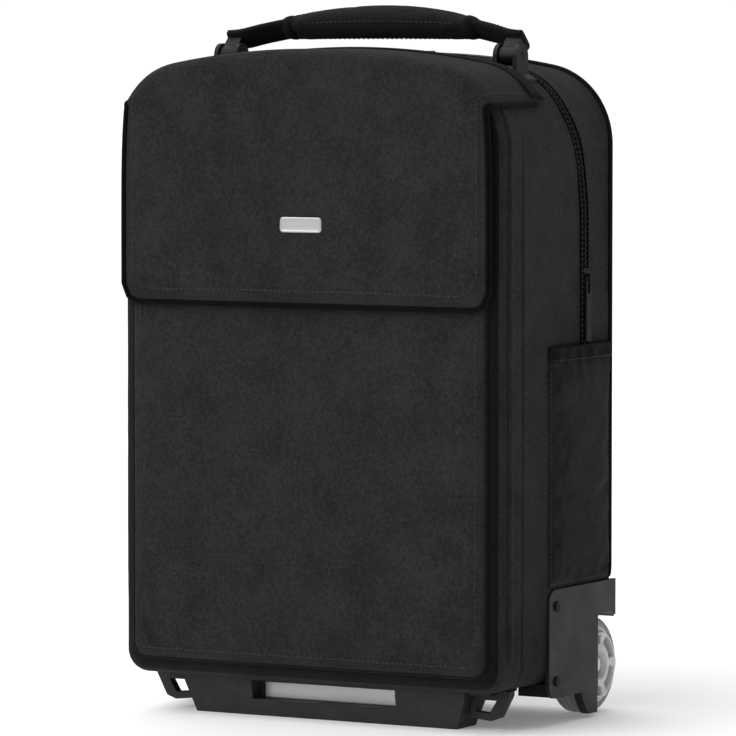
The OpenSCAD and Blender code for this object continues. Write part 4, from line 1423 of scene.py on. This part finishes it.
class CASE_OT_zip(bpy.types.Operator):
    """Build the zip: woven tape, coil teeth, slider and puller finishes"""

    bl_idname = "flight_case.zip"
    bl_label = "Zip"

    def execute(self, context):
        p, n = zip_path(3 * MM)
        # Real black zip tape, widened and given the darkened cord cloth, which partly stands as painted shade
        # of the zip's groove.
        section = [
            (-7, -1.4), (-7, 0.1), (-4.4, 0.4), (-3.9, 0.9), (-3.2, -0.4), (3.2, -0.4), (3.9, 0.9),
            (4.4, 0.4), (7, 0.1), (7, -1.4)
        ]
        v, f = sweep(p, n, [(a * MM, b * MM) for a, b in section])
        settle(make("zip_tape_woven", v, f, painted_shade_cord(), sharp=50), "case", ["zip_tape"])
        c, up = zip_path(1.9 * MM)
        t = unit(np.gradient(c, axis=0))
        side = unit(np.cross(t, up))
        shift = np.where(np.arange(len(c)) % 2 == 0, 0.7, -0.7)[:, None] * MM
        v, f = spindles(c + side * shift + up * 0.05 * MM, side, up, 1.9 * MM, 0.78 * MM, sink=0.3)
        teeth = make(
            "zip_teeth", v, f,
            plastic_material("Zip coil", (0.006, 0.006, 0.0063), 0.42, grain=0.3 * MM, depth=0.02 * MM)
        )
        settle(teeth, "case")
        edges = []
        t = unit(np.gradient(p, axis=0))
        side = unit(np.cross(t, n))
        for k in (-1, 1):
            edges.append((p + side * k * 5.4 * MM + n * 0.5 * MM, n))
        thread("zip_stitches", edges, "case")
        dress(["zip_slider", "zip_puller"], dark_steel(), bevel=0.35 * MM)
        return {"FINISHED"}


# ---- carry handle ---------------------------------------------------------------------


def handle_space():
    """Axes of the carry handle at rest: its pivot, across, backward and upward."""
    low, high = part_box("pivot_pins")
    pivot = np.array([0.0, (low[1] + high[1]) / 2, (low[2] + high[2]) / 2])
    back = np.array([0.0, math.cos(CARRY_LEAN), -math.sin(CARRY_LEAN)])
    up = np.array([0.0, math.sin(CARRY_LEAN), math.cos(CARRY_LEAN)])
    return pivot, np.array([1.0, 0.0, 0.0]), back, up


class CASE_OT_carry_handle(bpy.types.Operator):
    """Build the padded grip sleeve and the webbing that carries it"""

    bl_idname = "flight_case.carry_handle"
    bl_label = "Carry handle"

    def execute(self, context):
        pivot, across, back, up = handle_space()
        reach = self.reach(pivot, up)
        end_x = max(abs(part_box("carry_strap")[0][0]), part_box("carry_strap")[1][0])
        xs = np.linspace(-GRIP_HALF, GRIP_HALF, 73)
        ring = 32
        a = np.linspace(0, 2 * math.pi, ring, endpoint=False)
        edge = np.clip((GRIP_HALF - np.abs(xs)) / (7 * MM), 0, 1)
        size = 0.5 + 0.5 * np.sqrt(1 - (1 - edge) ** 2)
        deep, tall, middle = self.grip_shape(xs, reach)
        verts = []
        for x, k, w, h, m in zip(xs, size, deep, tall, middle):
            for q in a:
                c, s = math.cos(q), math.sin(q)
                across_it = w * k * math.copysign(abs(c) ** 0.85, c)
                up_it = h * k * math.copysign(abs(s) ** 0.9, s)
                pinch = 0.9 * MM * math.exp(-((abs(q - 1.5 * math.pi)) / 0.18) ** 2)
                verts.append(pivot + across * x + back * across_it + up * (m + up_it + pinch))
        verts = np.array(verts)
        faces = grid_faces(len(xs), ring, closed=True)
        faces += [tuple(reversed(range(ring))), tuple((len(xs) - 1) * ring + c for c in range(ring))]
        sleeve = make("grip_sleeve", verts, faces, self.sleeve_cloth(context))
        ends = np.repeat(np.abs(xs) > 80 * MM, ring)
        seam = np.tile(np.abs(a - 1.5 * math.pi) < 0.2, len(xs))
        puff(sleeve, np.nonzero(ends | seam)[0], 3.0, 1.5 * MM, slack=0.01)
        mod = sleeve.modifiers.new("smooth", "SUBSURF")
        mod.levels = mod.render_levels = 1
        bake(sleeve)
        shade(sleeve)
        settle(sleeve, "carry_handle", ["carry_grip"])
        self.strap(pivot, across, back, up, reach, end_x)
        runs = []
        x = np.linspace(-77 * MM, 77 * MM, 60)
        deep, tall, middle = self.grip_shape(x, reach)
        for side in (-1, 1):
            for turn in (-38, 38):
                c, q = side * math.cos(math.radians(turn)), math.sin(math.radians(turn))
                p = pivot + np.outer(x, across) + np.outer(middle + tall * q, up) + np.outer(deep * c, back)
                runs.append((p, np.tile(unit(back * c + up * q), (len(x), 1))))
        thread("grip_stitches", runs, "carry_handle")
        verts, faces = [], []
        for side in (-1, 1):
            xc = np.linspace(77 * MM, 86 * MM, 6)
            deep, tall, middle = self.grip_shape(xc, reach)
            pts = pivot + np.outer(side * xc, across) + np.outer(middle, up)
            v, f = sweep(
                pts, np.tile(up, (6, 1)), round_section(deep[0] + 0.6 * MM, tall[0] + 0.6 * MM, sides=28),
                scale=[0.95, 1.0, 0.99, 0.95, 0.9, 0.8]
            )
            faces += [tuple(i + len(verts) for i in q) for q in f]
            verts += list(v)
        settle(make("grip_end_collars", verts, faces, webbing()), "carry_handle")
        dress(["carry_eyes", "handle_brackets"], handle_plastic(), bevel=0.9 * MM)
        dress(["pivot_pins", "bracket_rivets"], dark_steel(), bevel=0.5 * MM)
        return {"FINISHED"}

    @staticmethod
    def reach(pivot, up):
        """Height of the grip's middle above the pivots, along the leaning handle."""
        low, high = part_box("carry_grip")
        middle = np.array([0.0, (low[1] + high[1]) / 2, (low[2] + high[2]) / 2])
        return float((middle - pivot) @ up)

    @staticmethod
    def grip_shape(x, reach):
        """Half depth, half height and middle of the grip at x: full in the middle,
        flatter towards its ends, with a level underside."""
        low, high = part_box("carry_grip")
        r = (high[1] - low[1]) / 2
        f = (np.abs(x) / GRIP_HALF) ** 2
        deep, tall = 0.97 * r * (1 - 0.18 * f), 0.97 * r * (1 - 0.5 * f)
        extent = np.hypot(deep * math.sin(CARRY_LEAN), tall * math.cos(CARRY_LEAN))
        return deep, tall, reach - (0.97 * r - extent) / math.cos(CARRY_LEAN)

    @staticmethod
    def sleeve_cloth(context):
        look = context.scene.flight_case
        return cloth_material(
            "Grip cloth", tint(look.trim_colour, 1.5), 1.0 * MM, depth=0.25 * MM, heather=0.3, wear=1.2
        )

    @staticmethod
    def strap(pivot, across, back, up, reach, end_x):
        inner = np.array([0, 20, 40, 60, 80]) * MM
        edge = CASE_OT_carry_handle.grip_shape(inner, reach)[2]
        x = np.concatenate([inner, [105 * MM, 120 * MM, end_x]])
        h = np.concatenate([edge, [edge[-1] * 0.45 + 0.55 * 17.5 * MM, 17.5 * MM, 16.5 * MM]])
        dense = np.linspace(0, x[-1], 70)
        height = np.interp(dense, x, h)
        kernel = np.ones(7) / 7
        height = np.convolve(np.pad(height, 7, mode="edge"), kernel, mode="same")[7:-7]
        xs = np.concatenate([-dense[::-1][:-1], dense])
        hs = np.concatenate([height[::-1][:-1], height])
        p = pivot + np.outer(xs, across) + np.outer(hs, up)
        t = unit(np.gradient(p, axis=0))
        ups = unit(np.cross(np.tile(back, (len(p), 1)), t))
        ups = np.where((ups @ up)[:, None] < 0, -ups, ups)
        v, f = sweep(p, ups, round_section(9.8 * MM, 3.1 * MM, sides=20, power=4.0))
        strap = settle(make("carry_webbing", v, f, webbing()), "carry_handle", ["carry_strap"])
        runs = []
        for side in (-1, 1):
            for off in (-7.4, 7.4):
                sel = (np.abs(xs) > 86 * MM) & (np.sign(xs) == side)
                q = p[sel] + back * off * MM + ups[sel] * 3.15 * MM
                runs.append((q, ups[sel]))
            sel = (np.abs(xs) > 112 * MM) & (np.sign(xs) == side)
            base, top = p[sel], ups[sel]
            for a, b in ((-7, 7), (7, -7)):
                f = np.linspace(a, b, len(base))[:, None] * MM
                runs.append((base + back * f + top * 3.15 * MM, top))
        thread("webbing_stitches", runs, "carry_handle", pitch=3.4 * MM, half=1.3 * MM)
        return strap


# ---- wheels ---------------------------------------------------------------------------


def lathe(profile, centre, steps=96, closed_profile=True):
    """A profile of (x, radius) turned round the wheel's axle."""
    m = len(profile)
    verts = []
    for i in range(steps):
        a = 2 * math.pi * i / steps
        for x, r in profile:
            verts.append((centre[0] + x, centre[1] + r * math.cos(a), centre[2] + r * math.sin(a)))
    faces = []
    for i in range(steps):
        j = (i + 1) % steps
        for k in range(m if closed_profile else m - 1):
            q = (k + 1) % m
            faces.append((i * m + k, j * m + k, j * m + q, i * m + q))
    return verts, faces


class CASE_OT_wheels(bpy.types.Operator):
    """Build the treads and spoked discs of the two wheels"""

    bl_idname = "flight_case.wheels"
    bl_label = "Wheels"

    def execute(self, context):
        for side, k in (("right", 1), ("left", -1)):
            low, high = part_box(f"tyre_{side}")
            centre = [(a + b) / 2 for a, b in zip(low, high)]
            radius, half = (high[2] - low[2]) / 2, (high[0] - low[0]) / 2
            self.tread(side, k, centre, radius, half)
            self.disc(side, k, centre, radius - 7 * MM, half)
        dress(["bearings_right", "bearings_left", "axles"], steel(), bevel=0.5 * MM)
        dress(["housing_screws"], dark_steel(), bevel=0.7 * MM)
        return {"FINISHED"}

    @staticmethod
    def tread(side, k, centre, radius, half):
        outer = []
        for i in range(41):
            f = -1 + 2 * i / 40
            drop = 3.2 * MM * abs(f) ** 5 + 0.35 * MM * f * f
            groove = 0.9 * MM if any(abs(f - g) < 0.055 for g in (-0.5, 0.0, 0.5)) else 0.0
            outer.append((f * half, radius - drop - groove))
        rim = radius - 6.9 * MM
        profile = outer + [
            (half, radius - 5 * MM), (half - 0.6 * MM, rim), (-half + 0.6 * MM, rim),
            (-half, radius - 5 * MM)
        ]
        v, f = lathe([(k * x, r) for x, r in profile], centre, 128)
        faces = f if k < 0 else [tuple(reversed(q)) for q in f]
        obj = make(f"wheel_tread_{side}", v, faces, tyre_rubber(), sharp=38)
        settle(obj, f"wheel_{side}", [f"tyre_{side}"])

    @staticmethod
    def disc(side, k, centre, rim, half):
        """Rim ring, boss and five webs with rounded windows between them."""
        spokes, per = 5, 24
        angles, radii = spokes * per, [9.2, 11.2, 13.6, 15.6, 18.2, 21.0, 23.6, 26.0, 27.6]
        verts, faces = [], []
        for j, r in enumerate(radii):
            for i in range(angles):
                local = (i % per) / per - 0.5
                a = 2 * math.pi * i / angles
                lean = 0.05 * math.sin((r - 13.6) / 14 * math.pi)
                edge = 1.6 * MM * (abs(local) * 2) ** 4 if j in (3, 7) else 0.0
                rr = r * MM + (edge if j == 3 else -edge)
                bow = 1.6 * MM * math.sin((r - 9) / 19 * math.pi)
                verts.append(
                    (
                        centre[0] + k * (half - 3.6 * MM - bow), centre[1] + rr * math.cos(a + lean),
                        centre[2] + rr * math.sin(a + lean)
                    )
                )
        for j in range(len(radii) - 1):
            for i in range(angles):
                local = abs(((i + 0.5) % per) / per - 0.5)
                window = 3 <= j <= 6 and local < 0.36
                if window:
                    continue
                n = (i + 1) % angles
                faces.append((j * angles + i, j * angles + n, (j + 1) * angles + n, (j + 1) * angles + i))
        faces = faces if k > 0 else [tuple(reversed(f)) for f in faces]
        web = make(f"wheel_disc_{side}", verts, faces)
        thicken(web, 9 * MM, bevel=0.9 * MM, offset=-1.0)
        shade(web, 40)
        h, r0 = half * 1000, rim * 1000
        ring = [
            (-h + 0.4, r0 - 0.05), (-h + 0.4, r0 - 2.2), (-h + 1.6, r0 - 3.6), (0, r0 - 3.9),
            (h - 3.0, r0 - 3.6), (h - 0.9, r0 - 2.4), (h - 0.3, r0 - 1.0), (h - 0.6, r0 - 0.05)
        ]
        boss = [
            (-h, 11.1), (-h, 13.2), (-h + 1, 14.0), (h - 2.0, 14.0), (h - 0.6, 13.2), (h, 12.0),
            (h, 11.1), (0, 9.3)
        ]
        all_v = [tuple(v.co) for v in web.data.vertices]
        all_f = [tuple(p.vertices) for p in web.data.polygons]
        for profile in (ring, boss):
            v, f = lathe([(k * x * MM, r * MM) for x, r in profile], centre, 96)
            f = f if k < 0 else [tuple(reversed(q)) for q in f]
            all_f += [tuple(i + len(all_v) for i in q) for q in f]
            all_v += v
        bpy.data.objects.remove(web)
        disc = make(f"wheel_disc_{side}", all_v, all_f, hub_plastic(), sharp=40)
        settle(disc, f"wheel_{side}", [f"hub_{side}"])


class CASE_OT_hardware(bpy.types.Operator):
    """Finish the guards, stand, pull handle and boards of the frame"""

    bl_idname = "flight_case.hardware"
    bl_label = "Hardware finishes"

    def execute(self, context):
        dress(
            ["wheel_housing_right", "wheel_housing_left"], guard_plastic(), bevel=1.4 * MM,
            segments=4
        )
        dress(["back_rails"], guard_plastic(), bevel=1.2 * MM)
        dress(["stand", "foot_loops"], stand_plastic(), bevel=1.2 * MM, segments=4)
        dress(["stand_bar"], satin(), bevel=0.8 * MM)
        dress(["stand_screws"], dark_steel(), bevel=0.4 * MM)
        dress(["flap_magnets", "panel_magnets", "release_yoke"], steel(), bevel=0.4 * MM)
        self.coil()
        dress(
            ["trolley_bezel", "trolley_grip", "release_button"], black_plastic(),
            bevel=1.0 * MM, segments=4
        )
        dress(
            ["stage_one_collars", "tube_sockets", "lock_blocks"], black_plastic(),
            bevel=0.6 * MM
        )
        dress(
            ["fixed_tubes", "stage_one_tubes", "stage_two_tubes"], tube_metal(), bevel=0.2 * MM,
            segments=2
        )
        dress(["document_divider", "base_board", "back_board"], lining(), bevel=0.7 * MM)
        return {"FINISHED"}

    @staticmethod
    def coil():
        """Return spring under the release button."""
        low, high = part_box("button_spring")
        x, y = (low[0] + high[0]) / 2, (low[1] + high[1]) / 2
        wire, turns = 0.4 * MM, 3
        radius = (high[0] - low[0]) / 2 - wire
        a = np.linspace(0, 2 * math.pi * turns, 24 * turns)
        z = np.linspace(low[2] + wire, high[2] - wire, len(a))
        points = np.stack([x + radius * np.cos(a), y + radius * np.sin(a), z], -1)
        v, f = sweep(points, np.tile([0.0, 0.0, 1.0], (len(a), 1)), round_section(wire, sides=8))
        spring = settle(make("button_coil", v, f, steel()), "stage_two", ["button_spring"])
        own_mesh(spring)


# ---- stage ------------------------------------------------------------------------------


class CASE_OT_stage(bpy.types.Operator):
    """Set the camera, the pale floor and the soft lights"""

    bl_idname = "flight_case.stage"
    bl_label = "Stage"

    def execute(self, context):
        scene = context.scene
        look = scene.flight_case
        yaw, pitch = math.radians(29.5), math.radians(3.57)
        target = Vector((0.002, -0.008, 0.270))
        away = Vector((math.sin(yaw) * math.cos(pitch), -math.cos(yaw) * math.cos(pitch), math.sin(pitch)))
        data = bpy.data.cameras.new("camera")
        data.sensor_width = 36.0
        data.lens = 260.1
        data.clip_end = 100.0
        cam = bpy.data.objects.new("camera", data)
        scene.collection.objects.link(cam)
        cam.location = target + away * look.camera_distance
        cam.rotation_euler = (-away).to_track_quat("-Z", "Y").to_euler()
        scene.camera = cam
        self.floor()
        self.light("key", (-1.6, -2.4, 2.4), 2.25, 65)
        self.light("fill", (0.2, -2.4, 1.2), 0.35, 60)
        self.light("top", (-0.9, 0.9, 2.6), 1.6, 70)
        world = bpy.data.worlds.new("studio")
        world.use_nodes = True
        n = Nodes(world.node_tree)
        surround = world.node_tree.nodes["Background"]
        seen = n.add("ShaderNodeLightPath").outputs["Is Camera Ray"]
        n.tree.links.new(n.math("MULTIPLY_ADD", seen, 0.76, 0.27), surround.inputs["Strength"])
        surround.inputs["Color"].default_value = (1.0, 1.0, 1.0, 1.0)
        scene.world = world
        scene.view_settings.view_transform = "Standard"
        return {"FINISHED"}

    @staticmethod
    def light(name, where, strength, spread):
        """A distant soft light; spread is how wide its source looks, in degrees."""
        data = bpy.data.lights.new(name, "SUN")
        data.energy = strength
        data.angle = math.radians(spread)
        lamp = bpy.data.objects.new(name, data)
        bpy.context.scene.collection.objects.link(lamp)
        lamp.location = where
        lamp.rotation_euler = (-Vector(where)).to_track_quat("-Z", "Y").to_euler()

    @staticmethod
    def floor():
        material, n, bsdf = new_material("Studio floor", Emission_Strength=0.16, Specular_IOR_Level=0.2)
        bsdf.inputs["Emission Color"].default_value = (1.0, 1.0, 1.0, 1.0)
        coord = n.add("ShaderNodeTexCoord").outputs["Object"]
        n.tree.links.new(
            n.mix(n.noise(coord, 3.0, 3.0), (0.88, 0.88, 0.88), (0.9, 0.9, 0.9)),
            bsdf.inputs["Base Color"]
        )
        n.tree.links.new(n.step(n.noise(coord, 7.0, 3.0), 0.0, 1.0, 0.6, 0.75), bsdf.inputs["Roughness"])
        rings, steps = [0.6, 1.2, 2.5, 6.0, 15.0, 40.0], 48
        verts = [(0, 0, 0)] + [
            (r * math.cos(2 * math.pi * i / steps), r * math.sin(2 * math.pi * i / steps), 0)
            for r in rings for i in range(steps)
        ]
        faces = [(0, 1 + i, 1 + (i + 1) % steps) for i in range(steps)]
        faces += [tuple(i + 1 for i in f[::-1]) for f in grid_faces(len(rings), steps, closed=True)]
        floor = make("studio_floor", verts, faces, material)


STEPS = (
    CASE_OT_stage,
    CASE_OT_body,
    CASE_OT_piping,
    CASE_OT_front_pad,
    CASE_OT_flap,
    CASE_OT_name_plate,
    CASE_OT_hinge_and_mouth,
    CASE_OT_pouches,
    CASE_OT_zip,
    CASE_OT_carry_handle,
    CASE_OT_wheels,
    CASE_OT_hardware,
)


class CASE_PT_panel(bpy.types.Panel):
    """Lists the settings and the steps that build the case"""

    bl_idname = "CASE_PT_panel"
    bl_label = "Flight case"
    bl_space_type = "VIEW_3D"
    bl_region_type = "UI"
    bl_category = "Flight case"

    def draw(self, context):
        column = self.layout.column()
        for key in FlightCaseSettings.__annotations__:
            column.prop(context.scene.flight_case, key)
        for step in STEPS:
            column.operator(step.bl_idname)


CLASSES = (FlightCaseSettings, *STEPS, CASE_PT_panel)


def register():
    for cls in CLASSES:
        bpy.utils.register_class(cls)
    bpy.types.Scene.flight_case = PointerProperty(type=FlightCaseSettings)


def unregister():
    del bpy.types.Scene.flight_case
    for cls in reversed(CLASSES):
        bpy.utils.unregister_class(cls)


def main():
    register()
    for step in STEPS:
        group, name = step.bl_idname.split(".")
        getattr(getattr(bpy.ops, group), name)()
    bpy.context.view_layer.update()


if __name__ == "__main__":
    main()
